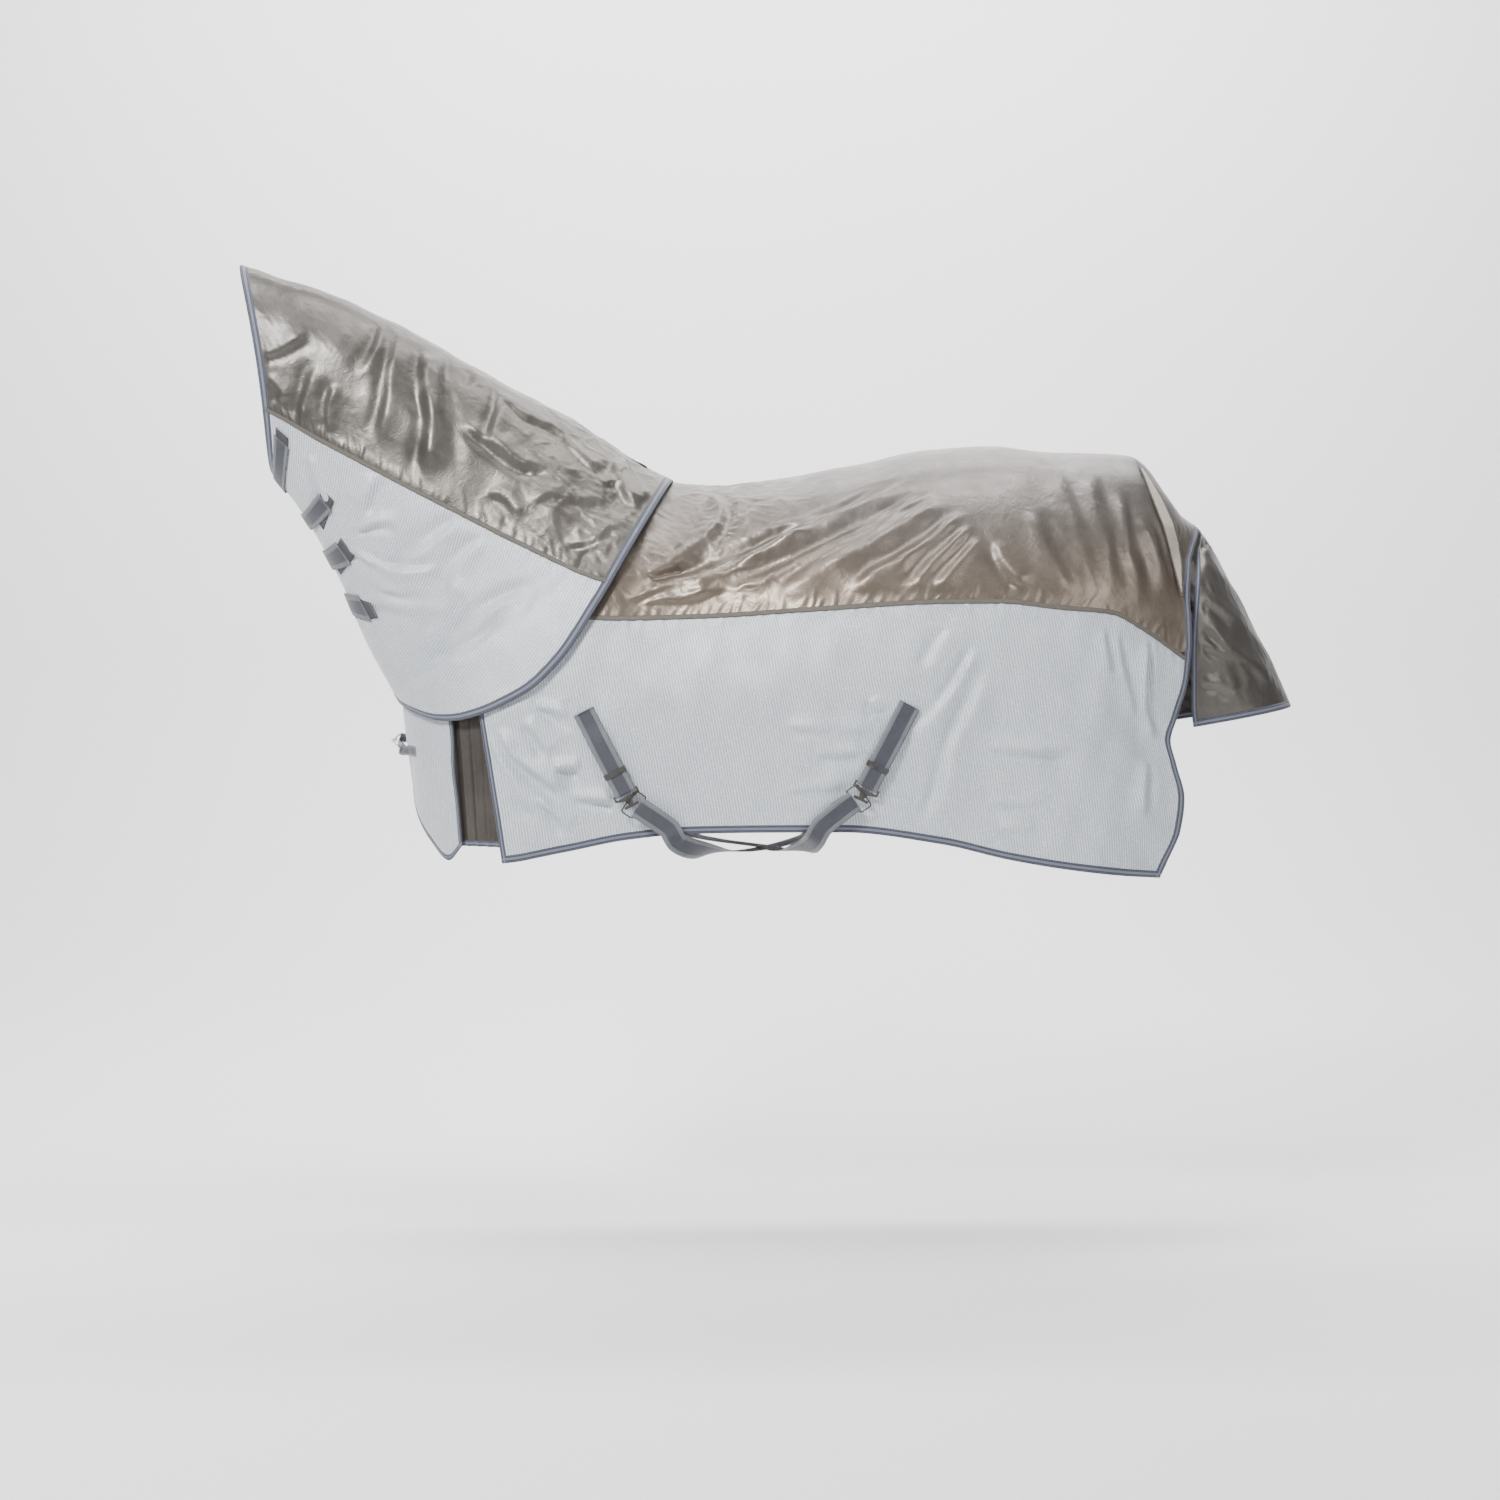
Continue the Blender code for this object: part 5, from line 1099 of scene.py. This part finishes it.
cloths = {}
for name, side in SIDES.items():
    back = cloths[f"back_{name}"] = back_half(side)
    spine = np.linspace(BACK_FIRST, REAR - EDGE_ROOM, len(back.p)) >= TOP_START
    keep_on_midplane(back, spine)
    inside = smooth(back.v, 0.004, 0.040) * smooth(back.u.max() - back.u, 0.015, 0.050)
    x = back.p[..., 0]
    withers = 0.0012 * (1 - smooth(x, 0.08, 0.34)) + 0.0003
    field = BACK_GAIN * folds_on(back, BACK_FOLDS, side, BACK_SPREAD) * smooth(hem_room(back), 0.0, 0.05)
    field += withers * crumple(back.p, 0.034, 3) + SATIN_WAVE * noise(back.p, 0.16, 11)
    field = field * inside
    field += gathers(back.u, back.v, 21 + side, *BACK_GATHERS)
    field *= off_apron(back.p)
    hip = np.exp(-((x - 0.64) / 0.10) ** 2 - ((back.p[..., 2] + 0.03) / 0.07) ** 2)
    back.lift(field * (1 - 0.7 * hip))
    keep_on_midplane(back, spine)

    mesh = cloths[f"side_{name}"] = side_half(side)
    hem = hem_room(mesh)
    inside = smooth(mesh.v, 0.004, 0.030) * smooth(hem, 0.010, 0.035)
    inside *= smooth(mesh.u, 0.008, 0.03) * smooth(mesh.u.max() - mesh.u, 0.012, 0.04)
    field = SIDE_GAIN * folds_on(mesh, SIDE_FOLDS, side) + 0.0013 * noise(mesh.p, 0.11, 31)
    field = field * inside + gathers(mesh.u, mesh.v, 41 + side, *SIDE_GATHERS)
    field += gathers(mesh.u, np.maximum(hem - 0.018, 0), 51 + side, *HEM_GATHERS)
    over_pleat = 1 - smooth(mesh.p[..., 0], -0.36, -0.30)
    field = np.maximum(field, -OVER_PLEAT_DEPTH * over_pleat - MESH_DEPTH * (1 - over_pleat))
    field -= np.maximum(field, 0) * under_tabs(mesh.p)
    mesh.lift(field * off_apron(mesh.p))

    flap = cloths[f"flap_{name}"] = flap_half(side)
    edges = smooth(flap.u, 0.006, 0.03) * smooth(flap.u.max() - flap.u, 0.006, 0.03)
    edges *= smooth(hem_room(flap), 0.006, 0.03)
    flap.lift((0.0014 * noise(flap.p, 0.09, 61) * edges) * off_apron(flap.p))

    pleat = cloths[f"gusset_{name}"] = gusset_half(side)
    across = pleat.u / pleat.u[-1:]
    pleat.lift(-PLEAT_WAVE * np.abs(np.sin(across * PLEATS * math.pi)) * smooth(across, 0, 0.1)
               * smooth(1 - across, 0, 0.1))

    wedge = cloths[f"wedge_{name}"] = wedge_half(side)
    wedge.lift(0.0005 * crumple(wedge.p, 0.016, 71))

    mesh = cloths[f"neck_{name}"] = neck_half(side)
    ends = smooth(mesh.u, 0.010, 0.035) * smooth(end_room(mesh), 0.012, 0.04)
    inside = smooth(mesh.v, 0.004, 0.03) * ends * smooth(hem_room(mesh), 0.004, 0.03)
    field = NECK_MESH_GAIN * folds_on(mesh, NECK_MESH_FOLDS, side) + 0.0012 * noise(mesh.p, 0.12, 81)
    field = field * inside + gathers(mesh.u, mesh.v, 91 + side, *NECK_MESH_GATHERS) * ends
    mesh.lift(field)

upper = cloths["neck_upper"] = neck_upper()
from_seam = np.minimum(upper.v, hem_room(upper))
ends = smooth(upper.u, 0.010, 0.035) * smooth(end_room(upper), 0.012, 0.04)
low_neck = 0.0013 * smooth(upper.p[..., 0], -0.42, -0.20) + 0.0003
field = NECK_GAIN * folds_on(upper, NECK_FOLDS, 0, NECK_SPREAD)
field = field + low_neck * crumple(upper.p, 0.032, 5, (0.5, 0.0, -0.86))
field = (field + SATIN_WAVE * noise(upper.p, 0.14, 13)) * smooth(from_seam, 0.004, 0.030)
field += gathers(upper.u, from_seam, 23, *NECK_GATHERS)
upper.lift(field * ends)

tail = cloths["tail"] = flap_of_tail()
inside = smooth(np.minimum(tail.v, hem_room(tail)), 0.008, 0.03)
inside = inside * smooth(tail.u, 0.003, 0.02) * smooth(end_room(tail), 0.010, 0.03)
field = folds_on(tail, TAIL_FOLDS) + 0.0009 * crumple(tail.p, 0.03, 15)
tail.lift((field + SATIN_WAVE * noise(tail.p, 0.11, 17)) * inside)


# ---------------------------------------------------------------- pieces on their bodies

# Widths that show of each tape, and thicknesses.
HEM, APRON, REAR_TAPE, NARROW, SEAM_TAPE = 0.015, 0.018, 0.015, 0.011, 0.010
BINDING, SEAM, RIBBON = 0.0023, 0.0012, 0.0011
PIPING_REACH, PIPING = 0.0035, 0.0022


def piece(name, grids, look, body, slot, *nodes):
    """A piece that stands for CAD nodes and rides on their body."""
    obj = mesh_piece(name, grids, look)
    return settle(obj, body, slot, *nodes)


def settle(obj, body, slot, *nodes):
    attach(obj, body)
    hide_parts(*nodes)
    return obj


def binding(node, body, *strips):
    """Striped binding tape over one or more edges."""
    return piece(f"{node}_tape", [tube(s, BINDING) for s in strips], BINDING_LOOK, body, "binding", node)


def seam_tape(node, body, where):
    """Narrow tape over a seam; where gives a point by shares along it and across it."""
    side = SIDES[node.rsplit("_", 1)[1]]
    cloth = Cloth(where, (90, 3), (300, 7), 1)
    if cloth.n[150, 3, 1] * side < 0:
        cloth.n = -cloth.n
    return piece(f"{node}_ribbon", [tube((cloth.p, cloth.n), RIBBON, overhang=0.0)], TAPE_LOOK, body,
                 "taupe_satin", node)


def webbing(node, rows, body="body_sheet", thickness=WEBBING):
    return piece(f"{node}_webbing", [strap(rows, thickness)], WEBBING_LOOK, body, "webbing", node)


def cloth_piece(node, grids, look, body, slot):
    """A cloth panel; the flat sizes of its grids are worked out but not used."""
    obj = settle(panel(f"{node}_cloth", grids, look), body, slot, node)
    sizes = [grid.size() for grid in grids]
    return obj


def rows_of(name, edge, width):
    return edge_rows(cloths[name], edge, width)


def frame_at(origin, up, outward):
    """Matrix of a local frame: X across, Y up along the strap, Z outward."""
    up = up.normalized()
    outward = (outward - up * outward.dot(up)).normalized()
    across = up.cross(outward)
    matrix = Matrix((across, up, outward)).transposed().to_4x4()
    matrix.translation = origin
    return matrix


def fold(steps=6):
    """Half turn of webbing round a bar, from the outward layer to the inward one, below the bar."""
    return [(-FOLD_DEEP * math.sin(math.pi * k / steps), FOLD_OUT * math.cos(math.pi * k / steps))
            for k in range(steps + 1)]


def directions(frame):
    """A frame's across, up and outward directions."""
    turn = frame.to_3x3()
    return turn @ Vector((1, 0, 0)), turn @ Vector((0, 1, 0)), turn @ Vector((0, 0, 1))


def flat_rows(path, across, width):
    """Edge points of webbing whose width keeps one direction."""
    return [[p - across * width / 2, p + across * width / 2] for p in path]


def tab_frame(where):
    """Frame of a tab at its sewn top on the left: on the cloth, Y pointing back up the tab."""
    x, z = TAB_TOPS[where]
    step = 0.01
    top = body_point(x, z, -1)
    below = body_point(x + tab_run(where) * step, z - step, -1)
    return frame_at(top, top - below, body_point(x, z, -1, step) - top)


def surcingle_tab(where):
    """Tab sewn on the left side, doubled back round its T-hook, with its slide."""
    frame = tab_frame(where)
    across, up, outward = directions(frame)
    sewn = (CLOTH + WEBBING) / 2 + CLEARANCE + SEWN_ROOM
    outer, inner = TAB_STANDOFF + FOLD_OUT, TAB_STANDOFF - FOLD_OUT
    line = [(0.0, sewn), (-0.030, sewn), (-0.045, between(sewn, outer, 0.3)),
            (-0.060, between(sewn, outer, 0.8)), (-0.072, outer), (-0.120, outer)]
    line += [(-TAB_LENGTH + y, TAB_STANDOFF + z) for y, z in fold()]
    line += [(-TAB_LENGTH + 0.040, inner), (-TAB_LENGTH + 0.085, inner)]
    path = [frame @ Vector((0, y, z)) for y, z in line]
    webbing(f"surcingle_tab_{where}", flat_rows(path, across, WEBBING_WIDTH))
    return frame @ Matrix.Translation((0, -TAB_LENGTH, TAB_STANDOFF))


def far_strap(where):
    """Strap sewn on the right side, lying down it to the hem. Returns its rows of edge points."""
    top_x, top_z = TAB_TOPS[where]
    run = tab_run(where)
    end_z = HINGE_HEIGHT
    end_x = top_x + run * (top_z - end_z)
    flat = math.hypot(1.0, run)
    half_x, half_z = WEBBING_WIDTH / 2 / flat, WEBBING_WIDTH / 2 * run / flat
    low = (CLOTH + WEBBING) / 2 + CLEARANCE + SEWN_ROOM
    high = (BINDING_THICKNESS + WEBBING) / 2 + CLEARANCE + 2 * FACET
    steps = 12
    rows = []
    for k in range(steps + 1):
        z = between(top_z, end_z + WEBBING_WIDTH / 2, k / steps)
        x = top_x + run * (top_z - z)
        lift = between(low, high, ramp(k, 2, 6))
        rows.append([body_point(x + half_x * edge, z + half_z * edge, 1, lift) for edge in (-1, 0, 1)])
    end_y = min(point.y for point in rows[-1])
    rows.append([Vector((end_x + WEBBING_WIDTH * flat / 2 * edge, end_y, end_z)) for edge in (-1, 0, 1)])
    webbing(f"far_strap_{where}", rows)
    return rows


def belly_strap(where, hook_frame, far_end):
    """The strap from the receiver on the T-hook, under the belly to the far hem."""
    ahead = 1 if where == "front" else -1
    hinge = far_end[1]
    loop_high = 0.028
    rise = (HOOK_PLATE + RECEIVER_WIRE) / 2 + CLEARANCE + SEWN_ROOM
    _, up, outward = directions(hook_frame)
    lean = (Vector((ahead * BELLY_LEAN, 0, 0)) - up).normalized()
    receiver = frame_at(hook_frame @ Vector((0, CATCH, rise)) + lean * (loop_high / 2 - 0.004), -lean,
                        outward)
    across, _, face = directions(receiver)
    bar = receiver @ Vector((0, -loop_high / 2, 0))
    turn = [bar + lean * d - face * FOLD_OUT for d in (0.040, 0.020)]
    turn += [bar + lean * y + face * z for y, z in reversed(fold())]
    rows = flat_rows(turn, across, WEBBING_WIDTH)

    start = bar + lean * 0.016 + face * FOLD_OUT
    hem_x = start.x + ahead * BELLY_HEM_RUN
    hem_y = -(half_width(hem_x) - hem_inward(hem_x) + BELLY_ROOM * WEBBING_WIDTH)
    low = hem_height(hem_x)
    drop = UNDER_BELLY - (WEBBING + 2 * CLEARANCE if where == "front" else 0.0)
    leave = Vector((far_end[1].x - CROSSING, 0, 0)).normalized() * -0.45 + Vector((0, -0.25, -1.0))
    leave.normalize()
    bend = hinge + leave * 0.014
    knots = [start, Vector((hem_x, hem_y, low + 0.016)),
             Vector((hem_x + ahead * 0.016, hem_y + 0.006, low - 0.012)),
             Vector((between(hem_x, CROSSING, 0.30), hem_y * 0.80, low - 0.034)),
             Vector((between(hem_x, CROSSING, 0.70), hem_y * 0.40, drop + 0.004)),
             Vector((CROSSING, 0, drop)),
             Vector((between(CROSSING, hinge.x, 0.45), hinge.y * 0.45, drop + 0.002)),
             Vector((between(CROSSING, hinge.x, 0.80), hinge.y * 0.84, drop + 0.008)), bend]
    path = smooth_path(knots, 0.016)
    hints = []
    for point in path:
        edge = abs(hem_y) if point.y < 0 else hinge.y
        under = ramp(1 - abs(point.y) / edge, 0.02, 0.30 if point.y > 0 else 0.62)
        hints.append(Vector((0, math.copysign(1 - under, point.y), -under)))
    run = strip_rows(path, hints, WEBBING_WIDTH)
    last = [far_end[0], far_end[2]]
    if (last[0] - run[-1][0]).length > (last[1] - run[-1][0]).length:
        last.reverse()
    run[-1] = [point + leave * 0.014 for point in last]
    run.append([point + leave * 0.006 for point in last])
    run.append([point - Vector((0, 0, CLEARANCE)) for point in last])
    if (run[0][0] - rows[-1][0]).length > (run[0][0] - rows[-1][1]).length:
        rows = [[b, a] for a, b in rows]
    webbing(f"belly_strap_{where}", rows + run, f"surcingle_{where}")


def surcingles():
    """Two crossed surcingles, each hooked on the left and sewn on the right."""
    far = {where: far_strap(where) for where in ("front", "rear")}
    for where, other in (("front", "rear"), ("rear", "front")):
        belly_strap(where, surcingle_tab(where), far[other][-1])


def chest_tab(name, bar, bar_way, toward, side):
    """Webbing tab sewn to a chest flap and folded round a bar; toward points on to the fastening."""
    face = bar_way.cross(toward).normalized()
    if face.x > 0:
        face.negate()
    upward = bar_way if bar_way.z > 0 else -bar_way
    half = CHEST_WEBBING_WIDTH / 2
    rows = []
    for spread, lift in ((0.125, CLOTH), (0.105, BINDING_THICKNESS), (0.085, BINDING_THICKNESS)):
        turn = math.acos(spread / CHEST_HALF_WIDTH)
        u = WRAP_START - WRAP_ARC * turn * 2 / math.pi
        over = (lift + WEBBING) / 2 + CLEARANCE + SEWN_ROOM
        rows.append([body_point(u, bar.z + z, side, over) for z in (-half, half)])
    outer = bar - toward * 0.010 + face * FOLD_OUT
    sewn = (rows[-1][0] + rows[-1][1]) / 2
    path = [sewn.lerp(outer, 0.55) + face * 0.001, outer]
    path += [bar - toward * y + face * z for y, z in fold()]
    path.append(bar - toward * 0.012 - face * FOLD_OUT)
    rows += [[point - upward * half, point + upward * half] for point in path]
    webbing(name, rows)


# Body sheet.
rear_edge_tape = binding("rear_binding", "body_sheet", end_to_end(
    turned(rows_of("side_left", "row last", REAR_TAPE)), rows_of("back_left", "row last", REAR_TAPE),
    turned(rows_of("back_right", "row last", REAR_TAPE)), rows_of("side_right", "row last", REAR_TAPE)))
cloth_piece("back_panel", [cloths["back_left"], cloths["back_right"]], TAUPE_BODY, "body_sheet",
            "taupe_satin")
for name, side in SIDES.items():
    hem = binding(f"hem_binding_{name}", "body_sheet", rows_of(f"side_{name}", "column last", HEM))
    front = binding(f"front_edge_binding_{name}", "body_sheet",
                    rows_of(f"side_{name}", "row first", NARROW))
    ribbon = seam_tape(f"panel_seam_tape_{name}", "body_sheet", lambda i, j: body_point(
        between(-0.300, REAR - REAR_TAPE, i), seam_height(between(-0.300, REAR - REAR_TAPE, i))
        + (0.5 - j) * SEAM_TAPE, side, CLOTH / 2 + SEAM / 2))
    cloth_piece(f"side_mesh_{name}", [cloths[f"side_{name}"]], MESH_LOOK, "body_sheet", "mesh")
    flap = f"flap_{name}"
    lower = binding(f"chest_flap_edge_binding_{name}", "body_sheet", rows_of(flap, "row first", NARROW),
                    rows_of(flap, "column last", NARROW))
    rear = binding(f"chest_flap_rear_binding_{name}", "body_sheet", rows_of(flap, "row last", NARROW))
    cloth_piece(f"chest_flap_{name}", [cloths[flap]], MESH_LOOK, "body_sheet", "mesh")
    low = binding(f"gusset_hem_binding_{name}", "body_sheet",
                  rows_of(f"gusset_{name}", "column last", NARROW))
    cloth_piece(f"shoulder_gusset_{name}", [cloths[f"gusset_{name}"]], TAUPE_DARK, "body_sheet",
                "taupe_satin")
    piping = [tube(rows_of(f"wedge_{name}", edge, PIPING_REACH), PIPING)
              for edge in ("column first", "column last")]
    outline = mesh_piece(f"tail_gusset_{name}_piping", piping, TAPE_LOOK)
    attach(outline, "body_sheet")
    cloth_piece(f"tail_gusset_{name}", [cloths[f"wedge_{name}"]], WEDGE_LOOK, "body_sheet", "pale_lining")

# Neck cover.
poll = binding("poll_binding", "neck_cover", end_to_end(
    turned(rows_of("neck_left", "row first", APRON)), rows_of("neck_upper", "row first", APRON),
    rows_of("neck_right", "row first", APRON)))
apron = binding("apron_binding", "neck_cover", end_to_end(
    turned(rows_of("neck_left", "row last", APRON)), rows_of("neck_upper", "row last", APRON),
    rows_of("neck_right", "row last", APRON)))
cloth_piece("neck_upper_panel", [cloths["neck_upper"]], TAUPE_NECK, "neck_cover", "taupe_satin")
for name, side in SIDES.items():
    def on_seam(i, j):
        t = between(0.018, 0.985, i)
        a = seam_angle(t)
        step = 0.01
        per_angle = (neck_point(t, a + step, 1) - neck_point(t, a - step, 1)).length / (2 * step)
        return neck_point(t, a + (j - 0.5) * SEAM_TAPE / per_angle, side, CLOTH / 2 + SEAM / 2)

    ribbon = seam_tape(f"neck_seam_tape_{name}", "neck_cover", on_seam)
    cloth_piece(f"neck_mesh_{name}", [cloths[f"neck_{name}"]], MESH_LOOK, "neck_cover", "mesh")

# Tail flap.
tail_edges = [binding(f"tail_flap_side_binding_{name}", "tail_flap", rows_of("tail", edge, NARROW))
              for name, edge in (("left", "column first"), ("right", "column last"))]
tail_edges.append(binding("tail_flap_lower_binding", "tail_flap", rows_of("tail", "row last", REAR_TAPE)))
cloth_piece("tail_flap", [cloths["tail"]], TAUPE_TAIL, "tail_flap", "taupe_satin")

# Webbing.
surcingles()


def throat_straps():
    """Four straps round the throat, each sewn just right of the middle, with its pad on the left."""
    pad_lift = CLOTH / 2 + CLEARANCE + FACET + PAD_THICKNESS / 2
    strap_lift = pad_lift + PAD_THICKNESS / 2 + CLEARANCE + THROAT_STRAP / 2 + SEWN_ROOM
    length = math.hypot(throat_x(1.0) - throat_x(0.0), throat_z(1.0) - throat_z(0.0))
    half = THROAT_STRAP_WIDTH / 2 / length
    inner = 0.05
    for number, (at_throat, at_end, reach) in enumerate(THROAT_STRAPS, 1):
        final = math.pi * reach
        turn = throat_angle(at_throat) - inner
        rows, pad_rows = [], []
        for edge in (-half, half):
            row = [neck_point(at_throat + edge, turn - STRAP_SEWN_ANGLE * k / 4, 1, strap_lift)
                   for k in (4, 3, 2, 1, 0)]
            row += [neck_point(between(at_throat, at_end, k / 8) + edge, between(turn, final, k / 8),
                               -1, strap_lift) for k in range(9)]
            rows.append(row)
            pad_rows.append([neck_point(at_end + 0.8 * edge, between(final + 0.30, final - 0.09, k / 3),
                                        -1, pad_lift) for k in range(4)])
        webbing(f"throat_strap_{number}", list(zip(*rows)), f"throat_strap_{number}", THROAT_STRAP)
        pad = [strap(list(zip(*pad_rows)), PAD_THICKNESS)]
        piece(f"hook_pad_{number}_tape", pad, PAD_LOOK, "neck_cover", "hook_and_loop", f"hook_pad_{number}")


throat_straps()

EYE_X = body_point(FLAP_FRONT, EYE_BAR[2], -1).x - CHEST_STANDOFF
eye = Vector((EYE_X, EYE_BAR[1], EYE_BAR[2]))
snap_way, ring_way = SNAP_WAY.normalized(), RING_WAY.normalized()
wire_way = snap_way.cross(ring_way).normalized()
turn = Matrix((wire_way.cross(snap_way), snap_way, wire_way)).transposed().to_4x4()
turn.translation = eye
SNAP_REACH, SNAP_WIRE, RING_WIRE = 0.0078, 0.0042, 0.0032
inside = SNAP_BIGHT + SNAP_REACH - (SNAP_WIRE + RING_WIRE) / 2 - CLEARANCE
ring = turn @ Vector((0, inside, 0)) + ring_way * RING_REACH
chest_tab("chest_tab_left", eye, wire_way, snap_way, -1)
chest_tab("chest_tab_right", ring, wire_way, -ring_way, 1)

# Hardware keeps its CAD shape.
for node, look in (("snap_eye", CHROME), ("snap_hook", CHROME), ("snap_gate", CHROME), ("chest_ring", CHROME),
                   ("slide_front", NICKEL), ("slide_rear", NICKEL), ("t_hook_front", NICKEL),
                   ("t_hook_rear", NICKEL), ("receiver_front", STEEL), ("receiver_rear", STEEL)):
    obj = frame["nodes"][node]
    obj.data.materials.clear()
    obj.data.materials.append(look)


# ---------------------------------------------------------------- stage, light and camera

def stage_piece(name, points, faces, colour):
    mesh = bpy.data.meshes.new(name)
    mesh.from_pydata(points, [], faces)
    mesh.shade_smooth()
    f = Finish(name, Roughness=0.9)
    spread = f.noise(f.coordinate("Object"), 1.5, 2.0)
    mesh.materials.append(f.use(Base_Color=f.mix(spread, colour, tuple(0.97 * c for c in colour))))
    obj = bpy.data.objects.new(name, mesh)
    bpy.context.scene.collection.objects.link(obj)


FLOOR, FLOOR_FRONT, FLOOR_BACK = -1.65, -5.0, 3.0
BEND, WALL_TOP, HALF_STAGE = 1.2, 7.0, 9.0
bow = [(FLOOR_FRONT, 0.0), (FLOOR_BACK, 0.0)]
bow += [(FLOOR_BACK + BEND * math.sin(a), BEND - BEND * math.cos(a))
        for a in np.linspace(0, math.pi / 2, 12)[1:]]
bow.append((FLOOR_BACK + BEND, WALL_TOP))
points = [(x, y, FLOOR + z) for y, z in bow for x in (-HALF_STAGE, HALF_STAGE)]
faces = [(2 * k, 2 * k + 1, 2 * k + 3, 2 * k + 2) for k in range(len(bow) - 1)]
stage_piece("studio_floor", points, faces, (0.90, 0.90, 0.90))


def lamp(name, where, towards, size, power):
    """A soft rectangular light."""
    data = bpy.data.lights.new(name, "AREA")
    data.shape = "RECTANGLE"
    data.size, data.size_y = size
    data.energy = power
    obj = bpy.data.objects.new(name, data)
    obj.location = where
    obj.rotation_euler = (Vector(towards) - Vector(where)).to_track_quat("-Z", "Y").to_euler()
    bpy.context.scene.collection.objects.link(obj)


MIDDLE = (0.15, 0.0, -0.2)
for light in (("key", (-2.2, -3.6, 2.6), MIDDLE, (1.5, 0.9), 400),
              ("top", (0.4, -0.6, 3.2), MIDDLE, (3.0, 0.8), 120),
              ("fill", (3.4, -4.0, 0.6), MIDDLE, (1.8, 1.8), 70),
              ("back", (0.5, 2.8, 2.4), MIDDLE, (3.0, 1.2), 45),
              ("backdrop", (0.2, 1.6, 3.4), (0.2, 4.4, -0.6), (6.0, 0.8), 430)):
    lamp(*light)
world = bpy.data.worlds.new("studio_air")
world.use_nodes = True
world.node_tree.nodes["Background"].inputs[0].default_value = (0.93, 0.95, 1.0, 1)
world.node_tree.nodes["Background"].inputs[1].default_value = 0.30
bpy.context.scene.world = world

CAMERA_TILT = 3.545
CAMERA_PLACE = (0.154, -5.5, -0.242)
LENS, SENSOR = 60.05, 36.0
camera = bpy.data.cameras.new("camera")
camera.lens, camera.sensor_width = LENS, SENSOR
camera_object = bpy.data.objects.new("camera", camera)
camera_object.location = CAMERA_PLACE
camera_object.rotation_euler = (math.radians(90 - CAMERA_TILT), 0, 0)
bpy.context.scene.collection.objects.link(camera_object)
bpy.context.scene.camera = camera_object
